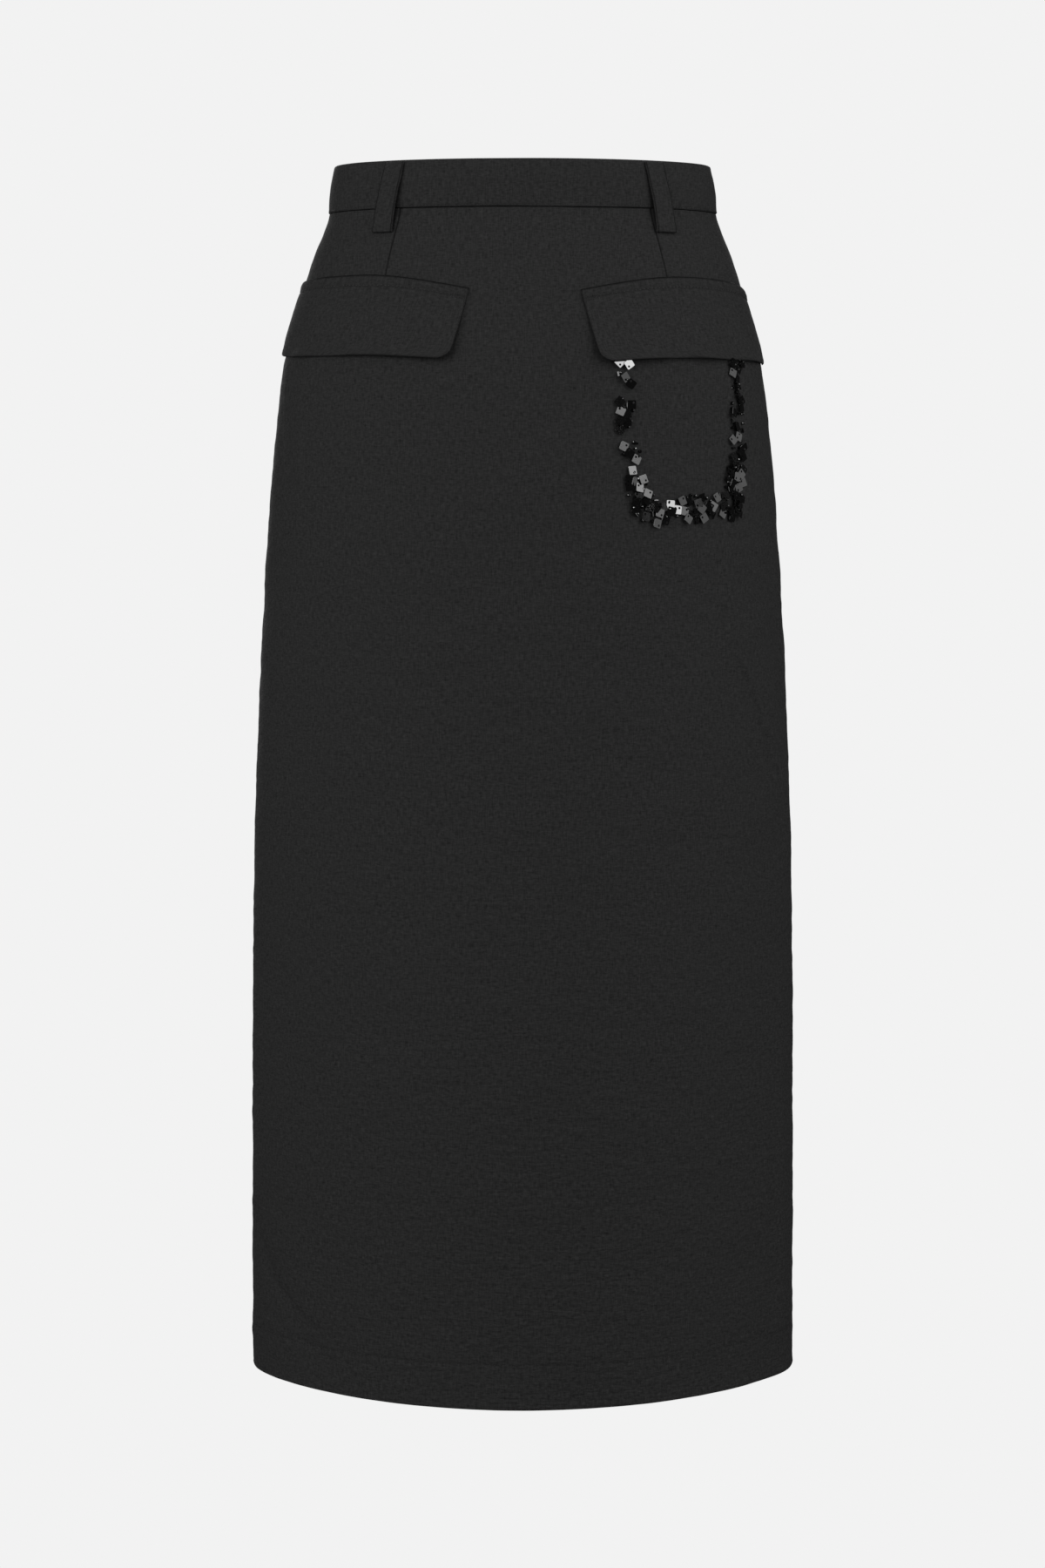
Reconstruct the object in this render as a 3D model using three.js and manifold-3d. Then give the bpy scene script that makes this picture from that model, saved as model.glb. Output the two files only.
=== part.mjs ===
// A cargo utility skirt: a straight black midi skirt, filled out as worn, with a waistband, four belt
// loops, two pocket flaps over the front hips and a concealed zip down the centre back.
// Millimetres, +Z up. The front faces -Y. The origin is the centre of the waist, level with the seam
// between the waistband and the skirt.

import * as THREE from "three";
import { mergeVertices } from "three/addons/utils/BufferGeometryUtils.js";
import Module from "manifold-3d";

// Cloth thicknesses, and the clear gap kept between two pieces. The waistband stands a little proud of
// the panels below it.
const CLOTH = 1.2;
const HEM_CLOTH = 2.4;
const BAND_CLOTH = 2.4;
const BAND_PROUD = 0.6;
const FLAP_CLOTH = 1.2;
const LOOP_CLOTH = 1.4;
const SEAM_GAP = 0.3;

// The skirt's heights. The hem's corners at the side seams are rounded up by the hem's lift.
const BAND_HEIGHT = 31.5;
const SKIRT_LENGTH = 781.2;
const HEM_DEPTH = 30;
const HEM_STEP = 1;
const HEM_LIFT = 3.6;
const HEM_LIFT_POWER = 150;
const HIP_DEPTH = 110;

// Level sections through the garment, from the top edge to the hem. half is half the width, front and
// back are how far the cloth stands forward and behind the side seams, and lens is 1 where the section
// is an ellipse and more where its two sides draw in to a tighter turn.
const SECTIONS = [
  { z: BAND_HEIGHT, half: 125.2, front: 84.0, back: 88.0, lens: 1.0 },
  { z: 14, half: 128.2, front: 86.2, back: 89.8, lens: 1.0 },
  { z: 0, half: 129.6, front: 87.5, back: 91.0, lens: 1.0 },
  { z: -27, half: 139.4, front: 96.0, back: 101.5, lens: 1.0 },
  { z: -55, half: 148.6, front: 105.0, back: 112.0, lens: 1.0 },
  { z: -83, half: 156.0, front: 113.0, back: 121.5, lens: 1.02 },
  { z: -101, half: 160.2, front: 118.0, back: 127.0, lens: 1.04 },
  { z: -125, half: 163.6, front: 122.5, back: 133.0, lens: 1.06 },
  { z: -183, half: 169.4, front: 129.0, back: 142.5, lens: 1.12 },
  { z: -242, half: 173.4, front: 133.0, back: 146.5, lens: 1.18 },
  { z: -330, half: 178.4, front: 138.0, back: 148.0, lens: 1.26 },
  { z: -448, half: 182.2, front: 143.5, back: 148.6, lens: 1.36 },
  { z: -597, half: 183.7, front: 147.5, back: 149.0, lens: 1.45 },
  { z: -SKIRT_LENGTH, half: 184.1, front: 149.0, back: 149.0, lens: 1.5 },
];

// The soft folds: each runs from its head to its foot, width is across it, and a positive rise is a
// ridge. Angles are in degrees round the skirt, 0 at the centre front and 90 at the side on +X.
const FOLDS = [
  { headAngle: 53, headZ: -150, footAngle: 52, footZ: -310, width: 30, rise: 1.8 },
  { headAngle: 51, headZ: -240, footAngle: 84, footZ: -430, width: 34, rise: 2.2 },
  { headAngle: 68, headZ: -210, footAngle: 86, footZ: -380, width: 30, rise: -1.4 },
  { headAngle: 69, headZ: -430, footAngle: 73, footZ: -830, width: 30, rise: 1.6 },
  { headAngle: -84, headZ: -670, footAngle: -40, footZ: -775, width: 30, rise: -1.8 },
  { headAngle: -73, headZ: -80, footAngle: -70, footZ: -260, width: 30, rise: -1.2 },
  { headAngle: 126, headZ: -150, footAngle: 108, footZ: -440, width: 38, rise: 2.0 },
  { headAngle: -138, headZ: -140, footAngle: -152, footZ: -520, width: 40, rise: -1.6 },
  { headAngle: 150, headZ: -440, footAngle: 142, footZ: -830, width: 38, rise: 1.8 },
  { headAngle: -106, headZ: -400, footAngle: -101, footZ: -830, width: 34, rise: 1.6 },
];

// Pocket flaps. Each runs from its slanted inner end, whose place is measured round the skirt from the
// centre front, to the side seam. Its top and foot edges are given by their heights at the inner end,
// at the crown and at the side seam.
const FLAPS = [
  {
    name: "flap_left",
    side: -1,
    place: 34.7,
    top: { end: -53.8, crown: -43.9, side: -46.5 },
    foot: { end: -101.7, crown: -97.2, side: -95.2 },
  },
  {
    name: "flap_right",
    side: 1,
    place: 38,
    top: { end: -54.6, crown: -45.2, side: -52.5 },
    foot: { end: -103.7, crown: -99.1, side: -101.0 },
  },
];
const FLAP_CROWN_ANGLE = 46;
const FLAP_SLANT = 13;
const FLAP_CORNER = 8;
const FLAP_LIFT_AT_END = 2.8;
const FLAP_LIFT_AT_SIDE = 0.7;

// Belt loops, at the angles of their feet round the waist. Each leans a little towards the centre, and
// is a strip between its two sewn ends, bowed out between them, with its foot folded under.
const LOOPS = [
  { name: "belt_loop_front_left", angle: -42.8 },
  { name: "belt_loop_front_right", angle: 45.6 },
  { name: "belt_loop_back_right", angle: 134 },
  { name: "belt_loop_back_left", angle: -134 },
];
const LOOP_WIDTH = 14.6;
const LOOP_LEAN = 1.2;
const LOOP_TOP = 31;
const LOOP_FOOT = -16.2;
const LOOP_BOW = 1.2;
const LOOP_FOLD = 6;
const LOOP_FOLD_CLOTH = 0.7;

// The concealed zip at the centre back
const TAPE_WIDTH = 26;
const TAPE_CLOTH = 1.0;
const TAPE_TOP = 29;
const TAPE_GAP = 0.5;
const SLIDER_WIDTH = 4.4;
const SLIDER_HEIGHT = 9;
const SLIDER_BODY = 2;
const SLIDER_FOOT_TAPER = 0.6;
const SLIDER_HEAD_TAPER = 0.8;
const SLIDER_CENTRE_Z = 24;
const AXLE_ABOVE_BODY = 1.3;
const AXLE_HOLE_RADIUS = 1.0;
const BAIL_BAR = 0.9;
const BAIL_WIDTH = 2.2;
const PULL_LENGTH = 24;
const PULL_TOP_WIDTH = 5;
const PULL_FOOT_WIDTH = 6.4;
const PULL_THICK = 1.2;
const PULL_WINDOW_WIDTH = 3;
const PULL_WINDOW_HEIGHT = 3.6;
const PULL_BAR = 0.6;
const PULL_SHOULDER = 6;

// How finely the pieces are divided
const FRONT_COLUMNS = 40;
const BAND_COLUMNS = 80;
const BAND_ROWS = 3;
const HIP_ROWS = 10;
const SKIRT_ROWS = 16;
const FLAP_COLUMNS = 18;
const FLAP_ROWS = 6;
const CORNER_ROWS = 3;
const LOOP_COLUMNS = 3;
const LOOP_ROWS = 12;
const TAPE_COLUMNS = 4;
const TAPE_PANEL_ROWS = 13;
const BAIL_SEGMENTS = 8;
const PULL_SEGMENTS = 10;

const QUARTER_TURN = 90;
const HALF_TURN = 180;
const SMALL_ANGLE = 0.5;
const SMALL_HEIGHT = 1;
const MERGE_DISTANCE = 1e-4;

const lerp = THREE.MathUtils.lerp;
const radians = THREE.MathUtils.degToRad;

// The slope at row k of a column of the sections, set so that the curve never overshoots its rows.
function slopeAt(column, k) {
  const slopeTo = (upper, lower) => (lower[column] - upper[column]) / (lower.z - upper.z);
  const last = SECTIONS.length - 1;
  if (k === 0) return slopeTo(SECTIONS[0], SECTIONS[1]);
  if (k === last) return slopeTo(SECTIONS[last - 1], SECTIONS[last]);
  const above = slopeTo(SECTIONS[k - 1], SECTIONS[k]);
  const below = slopeTo(SECTIONS[k], SECTIONS[k + 1]);
  return above * below <= 0 ? 0 : (2 * above * below) / (above + below);
}

// A column of the sections at any height, as a smooth curve through its rows.
function sectionSize(column, z) {
  const last = SECTIONS.length - 1;
  if (z >= SECTIONS[0].z) return SECTIONS[0][column];
  if (z <= SECTIONS[last].z) return SECTIONS[last][column];
  const k = SECTIONS.findIndex((row, i) => i < last && z <= row.z && z > SECTIONS[i + 1].z);
  const [upper, lower] = [SECTIONS[k], SECTIONS[k + 1]];
  const span = lower.z - upper.z;
  const s = (z - upper.z) / span;
  const s2 = s * s;
  const s3 = s2 * s;
  return (
    (2 * s3 - 3 * s2 + 1) * upper[column] +
    (s3 - 2 * s2 + s) * span * slopeAt(column, k) +
    (3 * s2 - 2 * s3) * lower[column] +
    (s3 - s2) * span * slopeAt(column, k + 1)
  );
}

// A level section's point at an angle round the skirt, with no folds.
function sectionPoint(angle, z) {
  const a = radians(angle);
  const forward = Math.cos(a) > 0;
  const depth = sectionSize(forward ? "front" : "back", z);
  const reach = depth * Math.abs(Math.cos(a)) ** sectionSize("lens", z);
  return new THREE.Vector3(sectionSize("half", z) * Math.sin(a), forward ? -reach : reach, z);
}

// How far all the folds lift the cloth at a place.
function foldRise(angle, z) {
  let rise = 0;
  for (const fold of FOLDS) {
    const along = (z - fold.headZ) / (fold.footZ - fold.headZ);
    if (along <= 0 || along >= 1) continue;
    const aside = angle - lerp(fold.headAngle, fold.footAngle, along);
    const across = radians(aside) * sectionSize("half", z);
    rise += fold.rise * Math.sin(Math.PI * along) * Math.exp(-((across / (fold.width / 2)) ** 2));
  }
  return rise;
}

// The cloth's outer surface moved out by a distance, at an angle and a height.
function clothPoint(angle, z, out = 0) {
  const here = sectionPoint(angle, z);
  const round = sectionPoint(angle + SMALL_ANGLE, z).sub(sectionPoint(angle - SMALL_ANGLE, z));
  const down = sectionPoint(angle, z - SMALL_HEIGHT).sub(sectionPoint(angle, z + SMALL_HEIGHT));
  const outward = down.cross(round).normalize();
  return here.addScaledVector(outward, out + foldRise(angle, z));
}

// The angle at which a distance round the skirt from the centre front is reached, at a height.
function angleAtPlace(place, z) {
  const step = SMALL_ANGLE;
  let [angle, gone] = [0, 0];
  let before = sectionPoint(0, z);
  while (angle < QUARTER_TURN) {
    const next = sectionPoint(angle + step, z);
    const length = next.distanceTo(before);
    if (gone + length >= place) return angle + (step * (place - gone)) / length;
    gone += length;
    angle += step;
    before = next;
  }
  return QUARTER_TURN;
}

// A closed wall from a grid of outer points and a grid of inner points: columns go round towards +X
// as seen from the front, and rows go down.
function wall(columns, rows, outerAt, innerAt) {
  const positions = [];
  const grid = [outerAt, innerAt].map((pointAt) => {
    const first = positions.length / 3;
    for (let j = 0; j <= rows; j++)
      for (let i = 0; i <= columns; i++) positions.push(...pointAt(i, j).toArray());
    return (i, j) => first + j * (columns + 1) + i;
  });
  const [outer, inner] = grid;
  const triangles = [];
  const quad = (a, b, c, d) => triangles.push(a, b, c, c, b, d);
  for (let j = 0; j < rows; j++)
    for (let i = 0; i < columns; i++) {
      quad(outer(i, j), outer(i, j + 1), outer(i + 1, j), outer(i + 1, j + 1));
      quad(inner(i + 1, j), inner(i + 1, j + 1), inner(i, j), inner(i, j + 1));
    }
  for (let i = 0; i < columns; i++) {
    quad(inner(i, 0), outer(i, 0), inner(i + 1, 0), outer(i + 1, 0));
    quad(outer(i, rows), inner(i, rows), outer(i + 1, rows), inner(i + 1, rows));
  }
  for (let j = 0; j < rows; j++) {
    quad(inner(0, j), inner(0, j + 1), outer(0, j), outer(0, j + 1));
    quad(outer(columns, j), outer(columns, j + 1), inner(columns, j), inner(columns, j + 1));
  }
  const geometry = new THREE.BufferGeometry();
  geometry.setAttribute("position", new THREE.Float32BufferAttribute(positions, 3));
  geometry.setIndex(triangles);
  geometry.computeVertexNormals();
  return geometry;
}

// A panel's rows, close over the hips and wider below, with a step where the hem is turned up.
const hemTop = HEM_DEPTH - SKIRT_LENGTH;
const rowHeights = [
  -SEAM_GAP,
  ...Array.from({ length: HIP_ROWS }, (_, k) => (-HIP_DEPTH * (k + 1)) / HIP_ROWS),
  ...Array.from({ length: SKIRT_ROWS }, (_, k) => lerp(-HIP_DEPTH, hemTop, (k + 1) / SKIRT_ROWS)),
  hemTop - HEM_STEP,
  -SKIRT_LENGTH,
];

// The height of a panel's row at an angle: the rows at the hem lift at the side seams.
function rowHeight(j, angle) {
  const z = rowHeights[j];
  const lift = HEM_LIFT * Math.abs(Math.sin(radians(angle))) ** HEM_LIFT_POWER;
  return z + lift * (z / SKIRT_LENGTH) ** HEM_LIFT_POWER;
}

// A skirt panel between two angles, whose edges stop half a seam gap short of the seam planes.
function panel(fromAngle, toAngle, columns) {
  const half = SEAM_GAP / 2;
  const rows = rowHeights.length - 1;
  const isFront = fromAngle + toAngle === 0;
  const placed = (i, j, out) => {
    const angle = lerp(fromAngle, toAngle, i / columns);
    const point = clothPoint(angle, rowHeight(j, angle), out);
    if (Math.abs(angle) === QUARTER_TURN) point.y = isFront ? -half : half;
    if (Math.abs(angle) === HALF_TURN) point.x = half * Math.sign(fromAngle + toAngle);
    return point;
  };
  const thickness = (j) => (rowHeights[j] < hemTop ? HEM_CLOTH : CLOTH);
  return wall(columns, rows, (i, j) => placed(i, j, 0), (i, j) => placed(i, j, -thickness(j)));
}

// The waistband, one strip from one side of the centre back to the other.
function waistband() {
  const placed = (i, j, out) => {
    const angle = lerp(-HALF_TURN, HALF_TURN, i / BAND_COLUMNS);
    const point = clothPoint(angle, lerp(BAND_HEIGHT, 0, j / BAND_ROWS), out);
    if (Math.abs(angle) === HALF_TURN) point.x = (SEAM_GAP / 2) * Math.sign(angle);
    return point;
  };
  return wall(
    BAND_COLUMNS,
    BAND_ROWS,
    (i, j) => placed(i, j, BAND_PROUD),
    (i, j) => placed(i, j, BAND_PROUD - BAND_CLOTH)
  );
}

// A curve that rises from one value at the inner end to a second at the crown, then eases to a third
// at the side seam.
function flapEdge({ end, crown, side }, angle, endAngle) {
  if (angle < FLAP_CROWN_ANGLE) {
    const s = Math.max(0, (angle - endAngle) / (FLAP_CROWN_ANGLE - endAngle));
    return lerp(end, crown, Math.sin((Math.PI / 2) * s));
  }
  const s = (angle - FLAP_CROWN_ANGLE) / (QUARTER_TURN - FLAP_CROWN_ANGLE);
  return lerp(crown, side, s * s);
}

// A pocket flap, laid on its panel: its top edge is caught down, its foot stands off the panel, most at
// the rounded inner corner, and its other end stops at the side seam.
function pocketFlap({ side, place, top, foot }) {
  const rows = FLAP_ROWS + CORNER_ROWS;
  const cornerShare = FLAP_CORNER / (top.end - foot.end);
  const straight = 1 - cornerShare;
  const endAngle = angleAtPlace(place, top.end);
  const placed = (i, j, out) => {
    const turn = radians((QUARTER_TURN * Math.max(0, j - FLAP_ROWS)) / CORNER_ROWS);
    const drop = (straight * Math.min(j, FLAP_ROWS)) / FLAP_ROWS + cornerShare * Math.sin(turn);
    const inset = FLAP_SLANT * drop + FLAP_CORNER * (1 - Math.cos(turn));
    const startAngle = angleAtPlace(place + inset, lerp(top.end, foot.end, drop));
    const share = side > 0 ? i / FLAP_COLUMNS : 1 - i / FLAP_COLUMNS;
    const angle = lerp(startAngle, QUARTER_TURN, share);
    const z = lerp(flapEdge(top, angle, endAngle), flapEdge(foot, angle, endAngle), drop);
    const lift = lerp(FLAP_LIFT_AT_END, FLAP_LIFT_AT_SIDE, Math.sqrt(share)) * drop * drop;
    const point = clothPoint(side * angle, z, SEAM_GAP + lift + out);
    if (share === 1) point.y = -SEAM_GAP / 2;
    return point;
  };
  return wall(FLAP_COLUMNS, rows, (i, j) => placed(i, j, FLAP_CLOTH), (i, j) => placed(i, j, 0));
}

// A belt loop.
function beltLoop({ angle }) {
  const halfAngle = THREE.MathUtils.radToDeg(LOOP_WIDTH / 2 / sectionPoint(angle, 0).length());
  const outward = clothPoint(angle, 0, 1).sub(clothPoint(angle, 0));
  const placed = (i, j, isOuter) => {
    const along = j / LOOP_ROWS;
    const across = angle + lerp(-halfAngle, halfAngle, i / LOOP_COLUMNS);
    const lean = LOOP_LEAN * Math.sign(Math.sin(radians(2 * angle)));
    const head = clothPoint(across - lean, LOOP_TOP, BAND_PROUD + SEAM_GAP);
    const foot = clothPoint(across, LOOP_FOOT, SEAM_GAP);
    const isFolded = along * (LOOP_TOP - LOOP_FOOT) > LOOP_TOP - LOOP_FOOT - LOOP_FOLD;
    const thick = isOuter ? LOOP_CLOTH + (isFolded ? LOOP_FOLD_CLOTH : 0) : 0;
    return head.lerp(foot, along).addScaledVector(outward, LOOP_BOW * Math.sin(Math.PI * along) + thick);
  };
  return wall(LOOP_COLUMNS, LOOP_ROWS, (i, j) => placed(i, j, true), (i, j) => placed(i, j, false));
}

// The zip's tape, flat behind the centre back seam, from inside the waistband down to its foot.
function zipTape() {
  const seam = rowHeights[0];
  const heights = [TAPE_TOP, (TAPE_TOP + seam) / 2, ...rowHeights.slice(0, TAPE_PANEL_ROWS)];
  const placed = (i, j, out) => {
    const z = heights[j];
    const across = lerp(TAPE_WIDTH / 2, -TAPE_WIDTH / 2, i / TAPE_COLUMNS);
    const angle = HALF_TURN - THREE.MathUtils.radToDeg(across / sectionSize("half", z));
    const under = z >= seam ? BAND_CLOTH - BAND_PROUD : CLOTH;
    return clothPoint(angle, z, out - under - TAPE_GAP);
  };
  const rows = heights.length - 1;
  return wall(TAPE_COLUMNS, rows, (i, j) => placed(i, j, 0), (i, j) => placed(i, j, -TAPE_CLOTH));
}

const wasm = await Module();
wasm.setup();

// A closed three.js geometry as a solid that can be joined and cut.
function solidOf(geometry) {
  const plain = geometry.clone();
  plain.deleteAttribute("normal");
  plain.deleteAttribute("uv");
  const merged = mergeVertices(plain, MERGE_DISTANCE);
  return new wasm.Manifold(
    new wasm.Mesh({
      numProp: 3,
      vertProperties: merged.getAttribute("position").array,
      triVerts: new Uint32Array(merged.index.array),
    })
  );
}

function geometryOf(solid) {
  const mesh = solid.getMesh();
  const geometry = new THREE.BufferGeometry();
  geometry.setAttribute("position", new THREE.BufferAttribute(mesh.vertProperties, 3));
  geometry.setIndex(new THREE.BufferAttribute(mesh.triVerts, 1));
  const flat = geometry.toNonIndexed();
  flat.computeVertexNormals();
  return flat;
}

// The slider stands on the waistband's outer face, and its axle is where the pull tab turns.
const bandFaceY = clothPoint(HALF_TURN, SLIDER_CENTRE_Z - SLIDER_HEIGHT / 2, BAND_PROUD).y;
const sliderFootY = bandFaceY + SEAM_GAP;
const axle = new THREE.Vector3(0, sliderFootY + SLIDER_BODY + AXLE_ABOVE_BODY, SLIDER_CENTRE_Z);

// The zip slider: a body with tapered ends, and a bail over the axle hole.
function zipSlider() {
  const [w, h] = [SLIDER_WIDTH / 2, SLIDER_HEIGHT / 2];
  const outline = new THREE.Shape();
  outline.moveTo(-w * SLIDER_FOOT_TAPER, -h);
  outline.lineTo(w * SLIDER_FOOT_TAPER, -h);
  outline.lineTo(w, 0);
  outline.lineTo(w * SLIDER_HEAD_TAPER, h);
  outline.lineTo(-w * SLIDER_HEAD_TAPER, h);
  outline.lineTo(-w, 0);
  outline.closePath();
  const body = new THREE.ExtrudeGeometry(outline, { depth: SLIDER_BODY, bevelEnabled: false });
  body.rotateX(Math.PI / 2);
  body.translate(0, sliderFootY + SLIDER_BODY, SLIDER_CENTRE_Z);
  const reach = AXLE_HOLE_RADIUS + BAIL_BAR;
  const arch = new THREE.Shape();
  arch.moveTo(-reach, -AXLE_ABOVE_BODY - SEAM_GAP);
  arch.lineTo(reach, -AXLE_ABOVE_BODY - SEAM_GAP);
  arch.lineTo(reach, 0);
  arch.absarc(0, 0, reach, 0, Math.PI, false);
  arch.closePath();
  const hole = new THREE.Path();
  hole.absarc(0, 0, AXLE_HOLE_RADIUS, 0, 2 * Math.PI, true);
  arch.holes.push(hole);
  const bail = new THREE.ExtrudeGeometry(arch, {
    depth: BAIL_WIDTH,
    bevelEnabled: false,
    curveSegments: BAIL_SEGMENTS,
  });
  bail.translate(0, 0, -BAIL_WIDTH / 2);
  bail.rotateY(Math.PI / 2);
  bail.rotateX(Math.PI / 2);
  bail.translate(axle.x, axle.y, axle.z);
  return geometryOf(solidOf(body).add(solidOf(bail)));
}

// The pull tab, hanging straight down from its bar, which lies in the slider's bail.
function zipPull() {
  const [top, foot] = [PULL_TOP_WIDTH / 2, PULL_FOOT_WIDTH / 2];
  const outline = new THREE.Shape();
  outline.moveTo(-top, PULL_BAR);
  outline.lineTo(-top, -PULL_SHOULDER);
  outline.lineTo(-foot, foot - PULL_LENGTH);
  outline.absarc(0, foot - PULL_LENGTH, foot, Math.PI, 2 * Math.PI, false);
  outline.lineTo(top, -PULL_SHOULDER);
  outline.lineTo(top, PULL_BAR);
  outline.closePath();
  const window = new THREE.Path();
  window.moveTo(-PULL_WINDOW_WIDTH / 2, -PULL_BAR);
  window.lineTo(PULL_WINDOW_WIDTH / 2, -PULL_BAR);
  window.lineTo(PULL_WINDOW_WIDTH / 2, -PULL_BAR - PULL_WINDOW_HEIGHT);
  window.lineTo(-PULL_WINDOW_WIDTH / 2, -PULL_BAR - PULL_WINDOW_HEIGHT);
  window.closePath();
  outline.holes.push(window);
  const tab = new THREE.ExtrudeGeometry(outline, {
    depth: PULL_THICK,
    bevelEnabled: false,
    curveSegments: PULL_SEGMENTS,
  });
  tab.rotateX(Math.PI / 2);
  tab.translate(axle.x, axle.y + PULL_THICK / 2, axle.z);
  return geometryOf(solidOf(tab));
}

const blackCloth = { color: 0x272727, roughness: 0.85, metalness: 0 };
const blackTape = { color: 0x1c1c1c, roughness: 0.9, metalness: 0 };
const blackMetal = { color: 0x151515, roughness: 0.35, metalness: 0.9 };

function named(name, geometry, look) {
  const mesh = new THREE.Mesh(geometry, new THREE.MeshStandardMaterial(look));
  mesh.name = name;
  return mesh;
}

const skirt = new THREE.Group();
skirt.add(named("front_panel", panel(-QUARTER_TURN, QUARTER_TURN, FRONT_COLUMNS), blackCloth));
skirt.add(named("back_panel_right", panel(QUARTER_TURN, HALF_TURN, FRONT_COLUMNS / 2), blackCloth));
skirt.add(named("back_panel_left", panel(-HALF_TURN, -QUARTER_TURN, FRONT_COLUMNS / 2), blackCloth));
skirt.add(named("waistband", waistband(), blackCloth));
for (const flap of FLAPS) skirt.add(named(flap.name, pocketFlap(flap), blackCloth));
for (const loop of LOOPS) skirt.add(named(loop.name, beltLoop(loop), blackCloth));
skirt.add(named("zip_tape", zipTape(), blackTape));
skirt.add(named("zip_slider", zipSlider(), blackMetal));
skirt.add(named("zip_pull", zipPull(), blackMetal));

export default skirt;
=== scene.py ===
# %% [markdown]
# # A cargo utility skirt, dressed in cloth
# The CAD model gives a worn skirt as plain walls of the right size. This lesson gives those walls the
# look of the real garment: black crinkled cloth, sewn edges, darts, belt loops, pocket flaps, a concealed
# zip and a trim of square sequins and small beads. Every piece lies exactly where its wall lies, so the
# lesson starts by loading the model.

# %% Load the frame
import math

import bmesh
import bpy
import numpy as np
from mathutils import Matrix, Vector


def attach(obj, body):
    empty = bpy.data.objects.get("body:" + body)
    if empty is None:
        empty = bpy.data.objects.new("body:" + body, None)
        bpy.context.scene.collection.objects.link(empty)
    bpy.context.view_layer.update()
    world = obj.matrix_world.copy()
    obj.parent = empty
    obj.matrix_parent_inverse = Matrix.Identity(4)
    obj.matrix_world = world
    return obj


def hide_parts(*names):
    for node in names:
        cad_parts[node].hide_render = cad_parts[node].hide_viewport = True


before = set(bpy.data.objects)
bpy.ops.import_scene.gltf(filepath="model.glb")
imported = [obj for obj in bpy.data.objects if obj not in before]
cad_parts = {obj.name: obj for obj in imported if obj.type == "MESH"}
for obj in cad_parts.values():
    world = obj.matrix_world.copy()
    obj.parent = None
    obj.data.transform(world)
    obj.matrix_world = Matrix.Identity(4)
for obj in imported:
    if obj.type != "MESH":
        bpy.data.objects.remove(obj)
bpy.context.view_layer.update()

MM = 0.001
BODY = "skirt"
PULL_BODY = "pull"
scene = bpy.context.scene

# %% [markdown]
# ## The camera
# A catalogue photo is taken from far away with a long lens, so the hem and the waist are seen almost
# level. The camera stands 3 m in front of the skirt, 18 cm below its waist, and looks slightly down. The
# size of the skirt in the picture gives the lens, and the bow of the hem gives the height and the tilt.

# %% Camera
CAMERA_PLACE = (-0.0001, -3.0, -0.1814)
CAMERA_TILT_DOWN = 3.8476
CAMERA_LENS = 102
camera = bpy.data.objects.new("camera", bpy.data.cameras.new("camera"))
camera.data.lens = CAMERA_LENS
camera.location = CAMERA_PLACE
camera.rotation_euler = (math.radians(90 - CAMERA_TILT_DOWN), 0, 0)
scene.collection.objects.link(camera)
scene.camera = camera
print("camera at", CAMERA_PLACE, "with a lens of", CAMERA_LENS, "mm")

# %% [markdown]
# ## Writing node trees as expressions
# Materials and Geometry Nodes are both node trees. Two small classes keep them readable: a wire is the
# output of a node, and arithmetic on it adds Math nodes, so `1 - grain * 0.2` adds two. A graph adds any
# other node from its type, its settings and the values or wires of its sockets.

# %% Wires and graphs
class Wire:
    """The output of a node. Arithmetic on it adds Math nodes to its tree."""

    def __init__(self, graph, socket):
        self.graph, self.socket = graph, socket

    def math(self, operation, first, second):
        return self.graph.add("ShaderNodeMath", {"operation": operation}, {0: first, 1: second})

    def __add__(self, other):
        return self.math("ADD", self, other)

    def __radd__(self, other):
        return self.math("ADD", other, self)

    def __sub__(self, other):
        return self.math("SUBTRACT", self, other)

    def __rsub__(self, other):
        return self.math("SUBTRACT", other, self)

    def __mul__(self, other):
        return self.math("MULTIPLY", self, other)

    def __rmul__(self, other):
        return self.math("MULTIPLY", other, self)


class Graph:
    """A node tree that is written one node at a time."""

    def __init__(self, tree):
        self.tree = tree

    def add(self, kind, settings=None, sockets=None, output=0):
        node = self.tree.nodes.new(kind)
        for name, value in (settings or {}).items():
            setattr(node, name, value)
        for name, value in (sockets or {}).items():
            if isinstance(value, Wire):
                self.tree.links.new(value.socket, node.inputs[name])
            else:
                node.inputs[name].default_value = value
        return Wire(self, node.outputs[output])

    def end(self, kind, socket, wire):
        self.tree.links.new(wire.socket, self.tree.nodes.new(kind).inputs[socket])


# %% [markdown]
# ## The studio
# The photo has a flat pale ground with no shadow on it. Here the world and a round floor share that pale
# tone for the camera alone, while the cloth is lit by soft boxes: black cloth shows its folds only in
# light that comes from the sides. The bright box at the right is also what the brightest sequins
# mirror, and the dim ones beside it give the others something grey to mirror. The rest of the room is
# dark to a mirror.

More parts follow.
